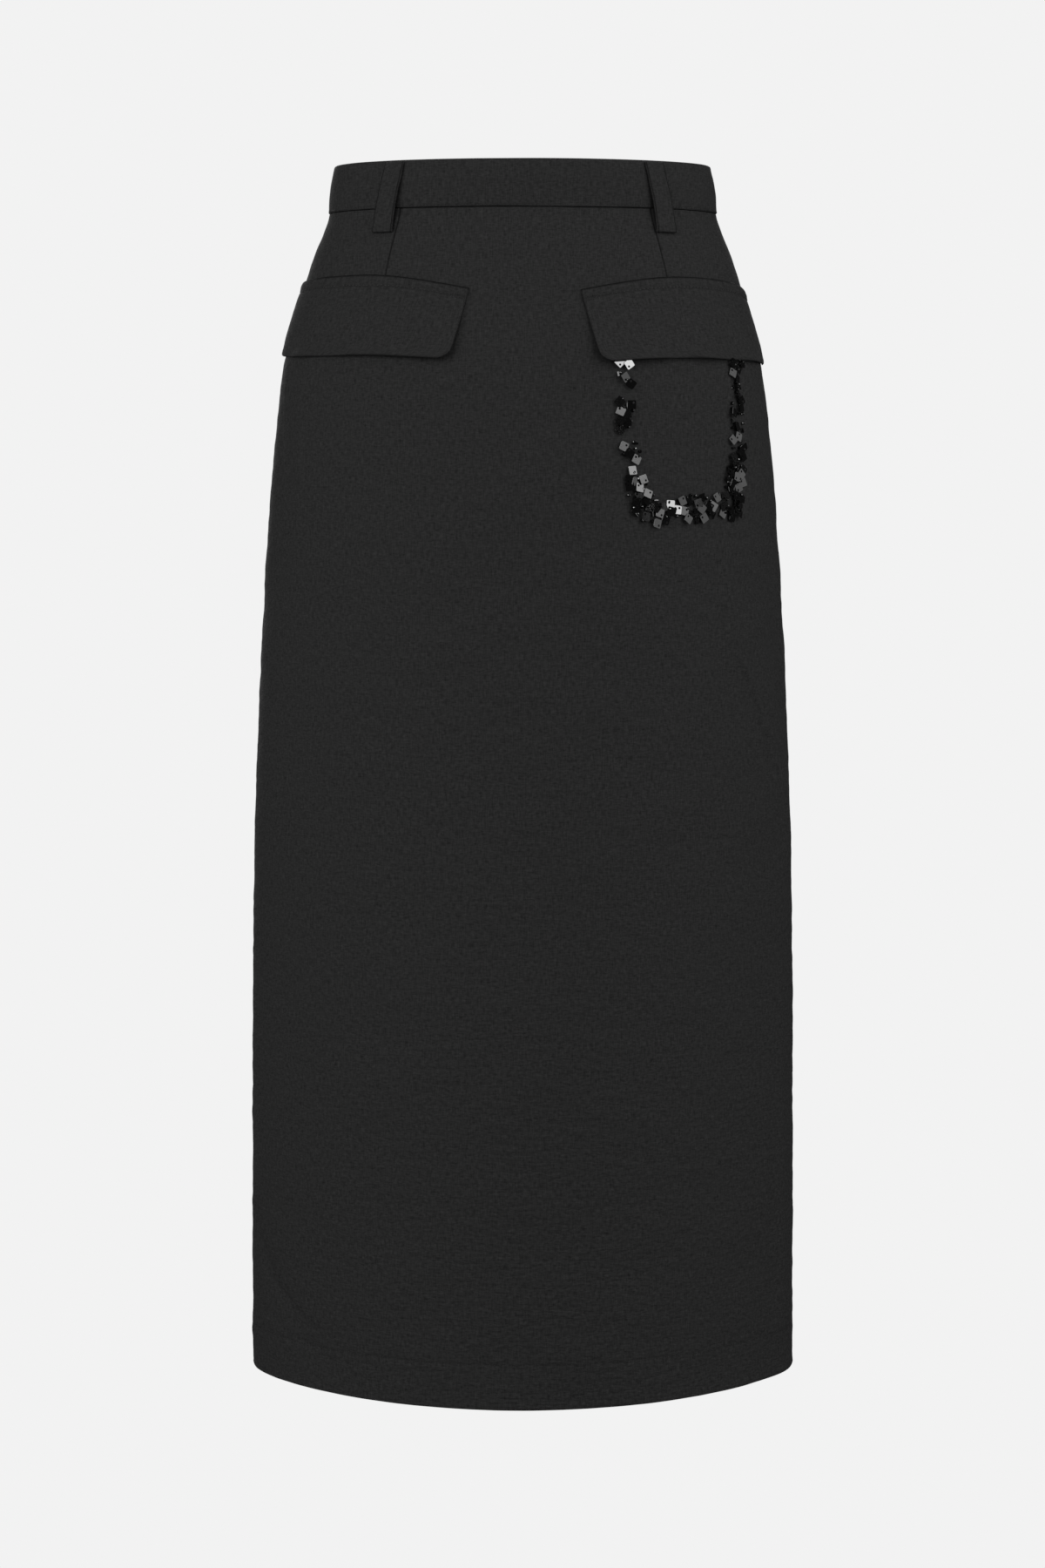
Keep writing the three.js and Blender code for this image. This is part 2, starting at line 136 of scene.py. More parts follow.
# %% Stage and lights
PALE = (0.888, 0.888, 0.888, 1)
AMBIENT = 0.36
MIRROR_DIMMING = 0.94
FLOOR_HEIGHT = -1.02
FLOOR_RADIUS = 6.0
FLOOR_SIDES = 64
LOOK_AT = Vector((0, 0, -0.36))
SOFT_BOXES = (
    # name, place, width, height, watts
    ("left box", (-2.3, -3.0, 1.5), 1.8, 2.2, 47),
    ("bright box", (2.0, -1.95, 0.35), 0.62, 0.75, 11.5),
    ("dim box", (2.35, -1.7, 0.3), 0.8, 1.2, 5),
    ("edge box", (2.75, -0.3, 0.2), 1.6, 2.0, 9),
    ("side box", (2.45, -0.8, 1.5), 1.6, 1.6, 20),
    ("high box", (1.8, -1.9, 2.4), 1.6, 1.2, 15),
    ("left side box", (-2.6, -1.0, 0.3), 1.2, 2.2, 29),
    ("back box", (0.25, 3.7, 1.9), 1.6, 1.8, 90),
    ("back fill box", (-1.1, 3.6, 0.6), 1.4, 2.2, 38),
)
scene.view_settings.view_transform = "Standard"

scene.world = bpy.data.worlds.new("studio")
scene.world.use_nodes = True
scene.world.node_tree.nodes.clear()
studio = Graph(scene.world.node_tree)
seen = studio.add("ShaderNodeBackground", sockets={"Color": PALE})
mirrored = studio.add("ShaderNodeLightPath", output="Is Glossy Ray")
lit = studio.add("ShaderNodeBackground", sockets={
    "Color": (1, 1, 1, 1), "Strength": AMBIENT * (1 - MIRROR_DIMMING * mirrored)})
to_camera = studio.add("ShaderNodeLightPath", output="Is Camera Ray")
mixed = studio.add("ShaderNodeMixShader", sockets={0: to_camera, 1: lit, 2: seen})
studio.end("ShaderNodeOutputWorld", "Surface", mixed)

for name, place, width, height, watts in SOFT_BOXES:
    light = bpy.data.lights.new(name, "AREA")
    light.shape = "RECTANGLE"
    light.size, light.size_y = width, height
    light.energy = watts
    box = bpy.data.objects.new(name, light)
    box.location = place
    box.rotation_euler = (LOOK_AT - Vector(place)).to_track_quat("-Z", "Y").to_euler()
    scene.collection.objects.link(box)

pale_ground = bpy.data.materials.new("pale ground")
pale_ground.use_nodes = True
pale_ground.node_tree.nodes.clear()
ground = Graph(pale_ground.node_tree)
ground.end("ShaderNodeOutputMaterial", "Surface", ground.add("ShaderNodeEmission", sockets={"Color": PALE}))

rim = [(FLOOR_RADIUS * math.cos(a), FLOOR_RADIUS * math.sin(a), FLOOR_HEIGHT)
       for a in np.linspace(0, 2 * math.pi, FLOOR_SIDES, endpoint=False)]
floor_mesh = bpy.data.meshes.new("floor")
floor_mesh.from_pydata(rim, [], [tuple(range(FLOOR_SIDES))])
floor_mesh.materials.append(pale_ground)
floor = bpy.data.objects.new("floor", floor_mesh)
floor.visible_diffuse = floor.visible_glossy = False
scene.collection.objects.link(floor)
print("lights:", len(SOFT_BOXES))

# %% [markdown]
# ## The form of the skirt
# A pattern cutter describes a skirt by its girths at a few levels. The table below holds those levels:
# half the width, and how far the cloth stands forward and behind the side seams. A smooth curve runs
# through each column, so the form can be read at any angle and height. `lens` is 1 for an ellipse and
# more where the front and back are pressed towards each other, as skirt panels are at their side seams.

# %% Level sections
BAND_HEIGHT = 31.5 * MM
SKIRT_LENGTH = 781.2 * MM
SECTIONS = (
    # z, half, front, back in millimetres, then lens
    (31.5, 125.2, 84.0, 88.0, 1.0),
    (14, 128.2, 86.2, 89.8, 1.0),
    (0, 129.6, 87.5, 91.0, 1.0),
    (-27, 139.4, 96.0, 101.5, 1.0),
    (-55, 148.6, 105.0, 112.0, 1.0),
    (-83, 156.0, 113.0, 121.5, 1.02),
    (-101, 160.2, 118.0, 127.0, 1.04),
    (-125, 163.6, 122.5, 133.0, 1.06),
    (-183, 169.4, 129.0, 142.5, 1.12),
    (-242, 173.4, 133.0, 146.5, 1.18),
    (-330, 178.4, 138.0, 148.0, 1.26),
    (-448, 182.2, 143.5, 148.6, 1.36),
    (-597, 183.7, 147.5, 149.0, 1.45),
    (-781.2, 184.1, 149.0, 149.0, 1.5),
)
levels = np.array(SECTIONS)[::-1]
level_z = MM * levels[:, 0]
level_sizes = {
    "half": MM * levels[:, 1],
    "front": MM * levels[:, 2],
    "back": MM * levels[:, 3],
    "lens": levels[:, 4],
}


def slopes(values):
    """The slope of a column at each level, set so that the curve never overshoots its levels."""
    steps = np.diff(values) / np.diff(level_z)
    agree = steps[:-1] * steps[1:] > 0
    total = np.where(agree, steps[:-1] + steps[1:], 1)
    inner = np.where(agree, 2 * steps[:-1] * steps[1:] / total, 0)
    return np.concatenate([steps[:1], inner, steps[-1:]])


level_slopes = {name: slopes(values) for name, values in level_sizes.items()}


def section_size(name, z):
    """A column of the sections at any height."""
    z = np.clip(z, level_z[0], level_z[-1])
    k = np.clip(np.searchsorted(level_z, z, side="right") - 1, 0, len(level_z) - 2)
    span = level_z[k + 1] - level_z[k]
    s = (z - level_z[k]) / span
    values, tilt = level_sizes[name], level_slopes[name]
    return (
        (2 * s**3 - 3 * s**2 + 1) * values[k]
        + (s**3 - 2 * s**2 + s) * span * tilt[k]
        + (3 * s**2 - 2 * s**3) * values[k + 1]
        + (s**3 - s**2) * span * tilt[k + 1]
    )


def section_point(angle, z):
    """Points of the form. Angle 0 is the centre front and 90 the side on +X, in degrees."""
    angle, z = np.broadcast_arrays(np.asarray(angle, float), np.asarray(z, float))
    turn = np.radians(angle)
    ahead = np.cos(turn) > 0
    depth = np.where(ahead, section_size("front", z), section_size("back", z))
    reach = depth * np.abs(np.cos(turn)) ** section_size("lens", z)
    return np.stack([section_size("half", z) * np.sin(turn), np.where(ahead, -reach, reach), z], -1)


hem_round = section_point(np.linspace(-180, 180, 721), -SKIRT_LENGTH)
hem_girth = float(np.linalg.norm(np.diff(hem_round, axis=0), axis=1).sum())
print("girth at the hem in mm:", round(hem_girth / MM))

# %% [markdown]
# ## Folds and creases
# Cloth on a body is never smooth. The large soft folds are in the CAD walls already and are repeated
# here. To them this cell adds creases that only the light shows: the long ridge that falls from the
# sequin trim to the side, the drag lines under the flaps, and the creases where the skirt was folded.
# Each runs from its head to its foot and swells and fades in between.

# %% Folds
FOLDS = (
    # head angle, head z, foot angle, foot z, width, rise; angles in degrees, the rest in millimetres
    (53, -150, 52, -310, 30, 1.8),
    (51, -240, 84, -430, 34, 2.2),
    (68, -210, 86, -380, 30, -1.4),
    (69, -430, 73, -830, 30, 1.6),
    (-84, -670, -40, -775, 30, -1.8),
    (-73, -80, -70, -260, 30, -1.2),
    (126, -150, 108, -440, 38, 2.0),
    (-138, -140, -152, -520, 40, -1.6),
    (150, -440, 142, -830, 38, 1.8),
    (-106, -400, -101, -830, 34, 1.6),
)
CREASES = (
    (51, -200, 50, -300, 7, 1.4),
    (49, -270, 75, -395, 8, 1.5),
    (53, -292, 70, -352, 6, 0.85),
    (36.9, -96, 34.5, -205, 6, 0.59),
    (45.1, -98, 42, -200, 6, 0.68),
    (40.5, -102, 38.2, -190, 5, -0.51),
    (-66.9, -98, -58, -230, 7, 0.85),
    (-59.5, -98, -52, -225, 6, 0.77),
    (-79, -98, -66, -215, 7, 0.68),
    (62, -540, 62.5, -740, 9, 1.2),
    (-77, -700, -41, -752, 8, -1.4),
    (-70, -735, -35, -768, 9, -0.85),
    (-29, -626, -14, -620, 6, -0.68),
    (-1.8, -440, -1.8, -700, 12, 0.59),
    (24, -560, 30, -640, 9, 0.68),
    (-40, -330, -15, -360, 9, 0.51),
    (10, -250, 24, -236, 8, -0.51),
    (166, -130, 158, -300, 9, 0.85),
    (-160, -260, -172, -420, 9, -0.85),
    (120, -420, 136, -560, 10, 1.2),
    (-118, -180, -128, -330, 9, 1),
    (-150, -620, -118, -700, 10, -1),
    (112, -700, 150, -755, 9, -0.85),
    (172, -500, 171, -720, 12, 0.68),
)
SMALL_ANGLE = 0.5
SMALL_HEIGHT = 1 * MM


def fold_rise(angle, z):
    """How far all the folds and creases lift the cloth at each place."""
    rise = np.zeros(np.broadcast(angle, z).shape)
    for head_angle, head_z, foot_angle, foot_z, width, height in FOLDS + CREASES:
        along = np.clip((z / MM - head_z) / (foot_z - head_z), 0, 1)
        aside = angle - (head_angle + (foot_angle - head_angle) * along)
        across = np.radians(aside) * section_size("half", z) / MM
        rise += height * MM * np.sin(np.pi * along) * np.exp(-((2 * across / width) ** 2))
    return rise


def outward(angle, z):
    """The direction out of the cloth."""
    angle, z = np.asarray(angle, float), np.asarray(z, float)
    round_it = section_point(angle + SMALL_ANGLE, z) - section_point(angle - SMALL_ANGLE, z)
    down = section_point(angle, z - SMALL_HEIGHT) - section_point(angle, z + SMALL_HEIGHT)
    normal = np.cross(down, round_it)
    return normal / np.linalg.norm(normal, axis=-1, keepdims=True)


def cloth_point(angle, z, out=0.0):
    """Points of the cloth's outer face, moved out by a distance."""
    lift = np.asarray(out + fold_rise(angle, z))[..., None]
    return section_point(angle, z) + outward(angle, z) * lift


print("folds:", len(FOLDS), "creases:", len(CREASES))

# %% [markdown]
# ## Crinkle
# The cloth is a crinkled weave. Its surface is a random field: a sum of many small waves of random
# direction, stretched along the weft. The waves are drawn once from a fixed seed, so that the skirt is
# the same each time. Anything finer than about 8 mm is left to the material.

# %% Random waves
WAVE_COUNT = 60
BROAD_RELIEF = 0.19 * MM
SHORT_RELIEF = 0.075 * MM


def waves(across, down, longest, shortest, stretch, seed):
    """A random field with a typical size of 1, at places in metres."""
    chance = np.random.default_rng(seed)
    field = np.zeros(np.broadcast(across, down).shape)
    for _ in range(WAVE_COUNT):
        length = shortest * (longest / shortest) ** chance.random()
        turn, phase = chance.random(2) * 2 * np.pi
        way = across * np.cos(turn) / stretch + down * np.sin(turn)
        field += np.cos(2 * np.pi * way / length + phase)
    return field * math.sqrt(2 / WAVE_COUNT)


def crinkle(across, down, seed):
    """The cloth's relief: broad waves, and short ones that lie along the weft."""
    broad = waves(across, down, 90 * MM, 35 * MM, 1.6, seed)
    short = waves(across, down, 20 * MM, 8 * MM, 2.2, seed + 1)
    return BROAD_RELIEF * broad + SHORT_RELIEF * short


# %% [markdown]
# ## Thin shells
# Cloth has two faces and an edge. Each piece is made from a fine grid of points for the face that shows
# and a coarser one for the other face, and a rim of triangles closes the gap between their borders. The
# faces have to point outwards, so a piece whose signed volume comes out below 0 is turned over.

# %% Shell and strip meshes
UV_NAME = "cloth"
# The attribute of painted shade: 1 where shade is painted into the cloth's colour as a dark line, 0
# elsewhere.
SHADE_ATTRIBUTE = "crease"


def add_piece(name, points, faces, places, material, crease=None):
    """A smooth mesh object at the origin, with a UV map in metres along the cloth.

    The painted shade attribute is 1 where shade is painted into the colour, in thin lines along darts,
    stitch lines and edges, and 0 elsewhere."""
    mesh = bpy.data.meshes.new(name)
    mesh.from_pydata(points.tolist(), [], faces)
    corners = np.empty(len(mesh.loops), np.int32)
    mesh.loops.foreach_get("vertex_index", corners)
    mesh.uv_layers.new(name=UV_NAME).data.foreach_set("uv", places[corners].astype(np.float32).ravel())
    mesh.polygons.foreach_set("use_smooth", np.ones(len(mesh.polygons), bool))
    shade_amount = np.zeros(len(points), np.float32)
    if crease is not None:
        shade_amount[:crease.size] = crease.ravel()
    mesh.attributes.new(SHADE_ATTRIBUTE, "FLOAT", "POINT").data.foreach_set("value", shade_amount)
    if signed_volume(mesh) < 0:
        mesh.flip_normals()
    mesh.materials.append(material)
    made = bpy.data.objects.new(name, mesh)
    scene.collection.objects.link(made)
    return made


def signed_volume(mesh):
    """The volume inside a closed mesh, less than 0 where its faces point inwards."""
    mesh.calc_loop_triangles()
    points = np.empty(len(mesh.vertices) * 3, np.float32)
    mesh.vertices.foreach_get("co", points)
    triangles = np.empty(len(mesh.loop_triangles) * 3, np.int32)
    mesh.loop_triangles.foreach_get("vertices", triangles)
    a, b, c = points.reshape(-1, 3).astype(float)[triangles.reshape(-1, 3)].transpose(1, 0, 2)
    return float((a * np.cross(b, c)).sum() / 6)


def grid_numbers(rows, columns, first):
    """The vertex numbers of a grid, laid out as the grid is."""
    return first + np.arange(rows * columns).reshape(rows, columns)


def grid_quads(numbers):
    """Quads of a grid whose rows go down and whose columns go round towards +X, facing outwards."""
    quads = np.stack([numbers[:-1, :-1], numbers[1:, :-1], numbers[1:, 1:], numbers[:-1, 1:]], -1)
    return quads.reshape(-1, 4)


def rim_between(first, second, flip):
    """Triangles between two borders that run the same way and may have different counts."""
    i = j = 0
    triangles = []
    while i < len(first) - 1 or j < len(second) - 1:
        step_first = j == len(second) - 1 or (
            i < len(first) - 1 and (i + 1) / (len(first) - 1) <= (j + 1) / (len(second) - 1)
        )
        if step_first:
            triangle = (first[i], first[i + 1], second[j])
            i += 1
        else:
            triangle = (first[i], second[j + 1], second[j])
            j += 1
        triangles.append(triangle[::-1] if flip else triangle)
    return triangles


def shell(name, outer, inner, outer_places, inner_places, material, crease=None):
    """A closed piece of cloth between a fine outer grid, which the painted shade is for, and an inner grid.
    """
    near = grid_numbers(*outer.shape[:2], 0)
    far = grid_numbers(*inner.shape[:2], near.size)
    faces = grid_quads(near).tolist() + grid_quads(far)[:, ::-1].tolist()
    for border, flip in ((0, False), (-1, True)):
        faces += rim_between(near[border], far[border], flip)
        faces += rim_between(near[:, border], far[:, border], not flip)
    points = np.concatenate([outer.reshape(-1, 3), inner.reshape(-1, 3)])
    places = np.concatenate([outer_places.reshape(-1, 2), inner_places.reshape(-1, 2)])
    return add_piece(name, points, faces, places, material, crease)


def strip(name, rings, places, material, crease=None):
    """A closed piece from rings of points, each ring a closed outline, with a flat cap at each end."""
    count, sides = rings.shape[:2]
    numbers = grid_numbers(count, sides, 0)
    looped = np.concatenate([numbers, numbers[:, :1]], 1)
    faces = grid_quads(looped).tolist() + [numbers[0].tolist(), numbers[-1][::-1].tolist()]
    return add_piece(name, rings.reshape(-1, 3), faces, places.reshape(-1, 2), material, crease)


def lengths_along(points, axis):
    """How far each point of a grid lies along its row or column, in metres."""
    steps = np.linalg.norm(np.diff(points, axis=axis), axis=-1)
    return np.concatenate([np.zeros_like(steps.take([0], axis)), np.cumsum(steps, axis)], axis)


def cloth_places(points, centre_column):
    """Places along the cloth, across from a column and down from the first row."""
    across = lengths_along(points, 1)
    across = across - across[:, centre_column, None]
    down = np.broadcast_to(lengths_along(points, 0)[:, centre_column, None], across.shape)
    return np.stack([across, down], -1)


# %% [markdown]
# ## Black crinkled cloth
# Black cloth is never pure black: it throws back about two parts in a hundred of the light. What tells
# the eye that it is woven is the way this small amount changes from yarn to yarn. The material mixes two
# near blacks by fine noise that is stretched along the weft and the warp, and the same noise raises the
# surface, together with crinkles a few millimetres long that grow stronger towards the hem. All of it
# reads the UV map in metres. The painted shade attribute darkens the colour in thin lines of painted shade
# along the darts, the hem's stitch line, the flaps' top folds and stitch rows, and the sides of the belt
# loops.

# %% Materials of cloth and thread
def surface_material(name, **fixed):
    """A material with one Principled shader, whose fixed sockets are set on the shader itself."""
    material = bpy.data.materials.new(name)
    material.use_nodes = True
    graph = Graph(material.node_tree)
    shader = material.node_tree.nodes["Principled BSDF"]
    for socket, value in fixed.items():
        shader.inputs[socket.replace("_", " ")].default_value = value
    return material, graph, shader


def noise(graph, place, across, down, detail=2.0):
    """Noise from 0 to 1 whose typical size is given across and down, in metres."""
    scale = (1 / across, 1 / down, 1 / down)
    scaled = graph.add("ShaderNodeMapping", sockets={"Vector": place, "Scale": scale})
    return graph.add("ShaderNodeTexNoise", sockets={"Vector": scaled, "Scale": 1.0, "Detail": detail})


def grey(tone):
    return (tone, tone, tone, 1)


def blend(graph, share, dark, light):
    return graph.add("ShaderNodeMix", {"data_type": "RGBA"}, {0: share, 6: dark, 7: light}, output=2)


def link(graph, wire, shader, socket):
    graph.tree.links.new(wire.socket, shader.inputs[socket])


def raise_by(graph, height, shader):
    """Bump of a height in metres."""
    bump = graph.add("ShaderNodeBump", sockets={"Height": height, "Distance": 1.0, "Strength": 1.0})
    link(graph, bump, shader, "Normal")


# How dark painted shade makes the cloth, as a share of its darker yarn tone.
SHADED_TONE = 0.25
YARN_MIDDLE = 0.35
YARN_CONTRAST = 3.3


def woven_cloth(name, dark, light, relief):
    """A matt weave between two grey tones. Its relief is given as a share of the black cloth's."""
    material, graph, shader = surface_material(name, Specular_IOR_Level=0.12)
    place = graph.add("ShaderNodeUVMap", {"uv_map": UV_NAME})
    weft = noise(graph, place, 3.2 * MM, 0.8 * MM)
    warp = noise(graph, place, 0.8 * MM, 6 * MM)
    mottle = noise(graph, place, 2.6 * MM, 1.8 * MM, 3.0)
    puckers = noise(graph, place, 9 * MM, 3 * MM, 3.0)
    lower = graph.add("ShaderNodeSeparateXYZ", sockets={"Vector": place}, output=1)
    grain = weft * 0.33 + warp * 0.37 + mottle * 0.3
    yarns = blend(graph, (grain - YARN_MIDDLE) * YARN_CONTRAST, grey(dark), grey(light))
    # Painted shade: where the attribute is 1, the colour is darkened to a share of the dark yarn tone.
    shade_amount = graph.add("ShaderNodeAttribute", {"attribute_name": SHADE_ATTRIBUTE}, output="Fac")
    link(graph, blend(graph, shade_amount, yarns, grey(SHADED_TONE * dark)), shader, "Base Color")
    link(graph, 0.95 - grain * 0.25, shader, "Roughness")
    heights = weft * 0.08 + warp * 0.08 + mottle * 0.1 + puckers * (0.3 + lower * 1.1)
    raise_by(graph, heights * (MM * relief), shader)
    return material


black_cloth = woven_cloth("black crinkled cloth", 0.0096, 0.0276, 1.0)
zip_twill = woven_cloth("black zip twill", 0.008, 0.016, 0.6)


def black_thread():
    material, graph, shader = surface_material("black thread", Specular_IOR_Level=0.4)
    place = graph.add("ShaderNodeTexCoord", output="Object")
    ply = noise(graph, place, 0.3 * MM, 0.3 * MM)
    link(graph, blend(graph, ply, grey(0.005), grey(0.016)), shader, "Base Color")
    link(graph, 0.45 + ply * 0.25, shader, "Roughness")
    raise_by(graph, ply * (0.05 * MM), shader)
    return material


thread = black_thread()
print("materials:", black_cloth.name + ",", zip_twill.name + ",", thread.name)

# %% [markdown]
# ## Where a panel's rows and columns lie
# A grid that is even everywhere wastes points on flat cloth and has too few where the cloth turns over an
# edge. The columns here are even in the middle, close together beside a seam and beside a dart, and stay
# at a fixed distance from the seam at every height. The rows do the same at the waist and at the hem.

# %% Rows and columns
SEAM_GAP = 0.3 * MM
SEWN_GAP = 0.02 * MM
EDGE_STEPS = MM * np.array([0, 0.1, 0.25, 0.5, 0.9, 1.8, 3.2])
CLEAR_OF_EDGE = 6 * MM
DART_STEPS = MM * np.array([-2.0, -1.1, -0.6, -0.3, 0, 0.3, 0.6, 1.1, 2.0])
DART_CLEARANCE = 1.4
DART_MIDDLE_Z = -30 * MM
STITCH_STEPS = MM * np.array([-1.2, -0.5, 0, 0.5, 1.2])
MID_HEIGHT = -0.35
MEASURING_POINTS = 2001
FINE_STEP = 2.6 * MM
COARSE_STEP = 9 * MM
SIDE, CENTRE_BACK = 90, 180


def seam_angle(seam, towards, distance, z):
    """The angle at a distance from a seam, on the side where angles grow (1) or fall (-1)."""
    if abs(seam) == CENTRE_BACK:
        turn = np.arcsin(distance / section_size("half", z))
    else:
        is_front = np.sign(seam) * towards < 0
        depth = section_size("front" if is_front else "back", z)
        turn = np.arcsin((distance / depth) ** (1 / section_size("lens", z)))
    return seam + towards * np.degrees(turn)


def middle_angles(first, last, step, darts=()):
    """Angles between two seams, evenly spaced round the cloth, with close ones beside each dart."""
    fine = np.linspace(first, last, MEASURING_POINTS)
    gone = lengths_along(section_point(fine, MID_HEIGHT)[None], 1)[0]
    count = round((gone[-1] - 2 * CLEAR_OF_EDGE) / step)
    angles = np.interp(np.linspace(CLEAR_OF_EDGE, gone[-1] - CLEAR_OF_EDGE, count + 1), gone, fine)
    for dart in darts:
        reach = np.degrees(DART_STEPS / np.linalg.norm(section_point(dart, DART_MIDDLE_Z)))
        angles = angles[np.abs(angles - dart) > reach[-1] * DART_CLEARANCE]
        angles = np.concatenate([angles, dart + reach])
    return np.sort(angles)


def panel_angles(first, last, z, edge_steps, middle):
    """The angle of each column of a panel at each height."""
    z = z[:, None]
    start = seam_angle(first, 1, SEWN_GAP + edge_steps, z)
    end = seam_angle(last, -1, SEWN_GAP + edge_steps[::-1], z)
    return np.concatenate([start, np.broadcast_to(middle, (len(z), len(middle))), end], 1)


def turned_in(distance, radius):
    """How far an edge that is turned under falls away, at a distance from it."""
    near = np.clip(distance, 0, radius)
    return np.sqrt(radius**2 - (radius - near) ** 2) - radius


# %% [markdown]
# ## The skirt panels
# The front is cut in one piece on the fold and has two waist darts. The back is cut in two pieces, each
# with a dart, and they meet at the centre back behind the zip. At the foot each panel is turned up by
# 30 mm and caught with blind stitches, which pull a faint row of dimples. Each panel hangs from the
# waistband.

# %% Skirt panels
CLOTH = 1.0 * MM
SEAM_ROLL = 0.7 * MM
TOP_ROLL = 0.5 * MM
HEM_DEPTH = 30 * MM
HEM_ROLL = 0.9 * MM
HEM_LIFT = 3.6 * MM
HEM_LIFT_POWER = 150
HEM_STITCH_Z = -751.5 * MM
FOLD_TURNS = 8
TURN_UP_STEPS = 8
DART_LENGTH = 98 * MM
DART_DEPTH = 0.55 * MM
DART_WIDTH = 0.7 * MM
DART_STEP = 0.3 * MM
# The width of the painted shade along a dart.
DART_LINE = 0.45 * MM
DART_SPREAD = 4 * MM
PUCKER_RELIEF = 0.07 * MM
PUCKER_SPREAD = 7 * MM
HEM_LINE_WIDTH = 0.9 * MM
HEM_LINE_DEPTH = 0.12 * MM
# How much painted shade darkens the hem's stitch line.
HEM_LINE_SHADE = 0.12
DARTS = {"front_panel": (-38.2, 40.4), "back_panel_right": (140.0,), "back_panel_left": (-140.0,)}
PANELS = (
    # name, first seam, last seam, seed of its crinkle
    ("front_panel", -SIDE, SIDE, 11),
    ("back_panel_right", SIDE, CENTRE_BACK, 23),
    ("back_panel_left", -CENTRE_BACK, -SIDE, 37),
)


def lifted(angle, z):
    """The height of a row that follows the hem, which lifts towards the side seams."""
    lift = HEM_LIFT * np.abs(np.sin(np.radians(angle))) ** HEM_LIFT_POWER
    return z + lift * np.abs(z / SKIRT_LENGTH) ** HEM_LIFT_POWER


def panel_rows():
    """Heights and outward offsets of a panel's rows: down the face, round the hem and up the turn-up."""
    hem = -SKIRT_LENGTH + HEM_ROLL
    top = -SEAM_GAP - EDGE_STEPS
    face = np.arange(top[-1] - FINE_STEP, hem + FINE_STEP / 2, -FINE_STEP)
    face = face[np.abs(face - HEM_STITCH_Z) > 2 * MM]
    face = np.concatenate([face, HEM_STITCH_Z - STITCH_STEPS])
    face = np.concatenate([top, np.sort(face)[::-1], [hem]])
    turn = np.linspace(0, np.pi, FOLD_TURNS + 1)[1:]
    rise = np.linspace(hem, HEM_DEPTH - SKIRT_LENGTH, TURN_UP_STEPS + 1)[1:]
    z = np.concatenate([face, hem - HEM_ROLL * np.sin(turn), rise])
    out = np.concatenate([
        turned_in(-SEAM_GAP - face, TOP_ROLL),
        HEM_ROLL * (np.cos(turn) - 1),
        np.full(TURN_UP_STEPS, -2 * HEM_ROLL),
    ])
    return z, out


def dart_relief(angle, z, darts):
    """A dart: a fine groove with one side a little higher, from the waist to the dart's point.

    The second result is painted shade: a dark line painted along the dart's seam, fading towards its point."""
    relief, shade_amount = np.zeros(angle.shape), np.zeros(angle.shape)
    for dart in darts:
        fade = np.clip(1 + z / DART_LENGTH, 0, 1) ** 0.5
        across = np.radians(angle - dart) * section_size("half", z)
        beside = np.exp(-np.abs(across) / DART_SPREAD) * np.tanh(across / DART_WIDTH) * np.sign(dart)
        relief += fade * (DART_STEP * beside - DART_DEPTH * np.exp(-((across / DART_WIDTH) ** 2)))
        # Painted shade: a dark line along the dart's seam, fading towards its point.
        shade_amount += fade ** 0.5 * np.exp(-((across / DART_LINE) ** 2))
    return relief, shade_amount


def seam_pucker(distance, z, seed):
    """The small pulls that a line of sewing leaves beside itself."""
    pulls = waves(np.zeros_like(z), z, 26 * MM, 11 * MM, 1.0, seed)
    return PUCKER_RELIEF * pulls * np.exp(-distance / PUCKER_SPREAD)


def skirt_panel(name, first, last, seed):
    z, out = panel_rows()
    middle = middle_angles(first, last, FINE_STEP, DARTS[name])
    angle = panel_angles(first, last, z, EDGE_STEPS, middle)
    z = lifted(angle, z[:, None])
    base = section_point(angle, z)
    centre = int(np.argmin(np.abs(angle[0]))) if name == "front_panel" else angle.shape[1] // 2
    places = cloth_places(base, centre)
    across, down = places[..., 0], places[..., 1]
    to_edge = np.minimum(across - across[:, :1], across[:, -1:] - across)
    darts, shade_amount = dart_relief(angle, z, DARTS[name])
    relief = crinkle(across, down, seed) + darts
    relief += turned_in(to_edge, SEAM_ROLL) + seam_pucker(to_edge, z, seed + 2)
    hem_line = np.exp(-((z - HEM_STITCH_Z) / HEM_LINE_WIDTH) ** 2) * (out[:, None] > -HEM_ROLL)
    relief -= HEM_LINE_DEPTH * hem_line
    # The stitch line is a real shallow groove, and painted shade darkens the colour along it as well.
    shade_amount = np.maximum(shade_amount, HEM_LINE_SHADE * hem_line)
    outer = cloth_point(angle, z, out[:, None] + relief)

    inner_z = np.linspace(-SEAM_GAP, HEM_DEPTH - SKIRT_LENGTH, round(SKIRT_LENGTH / COARSE_STEP))
    inner_middle = middle_angles(first, last, COARSE_STEP)
    inner_angle = panel_angles(first, last, inner_z, EDGE_STEPS[:1], inner_middle)
    inner_z = lifted(inner_angle, inner_z[:, None])
    inner_places = cloth_places(section_point(inner_angle, inner_z), inner_angle.shape[1] // 2)
    inner = cloth_point(inner_angle, inner_z, -CLOTH)
    made = shell(name + "_cloth", outer, inner, places, inner_places, black_cloth, shade_amount)
    return made, float(across[:, -1].max() - across[:, 0].min())


panels = {}
for name, first, last, seed in PANELS:
    panels[name], width = skirt_panel(name, first, last, seed)
    print(name, "faces:", len(panels[name].data.polygons), "widest in mm:", round(width / MM))

# %% [markdown]
# ## The waistband
# The band is one strip of cloth folded double along its top edge, with its lower edges turned in at the
# waist seam. Its outline in section is therefore a narrow hook, which a ring of the same points carries
# from one side of the centre back to the other. The thickness of what lies inside makes its face bulge.

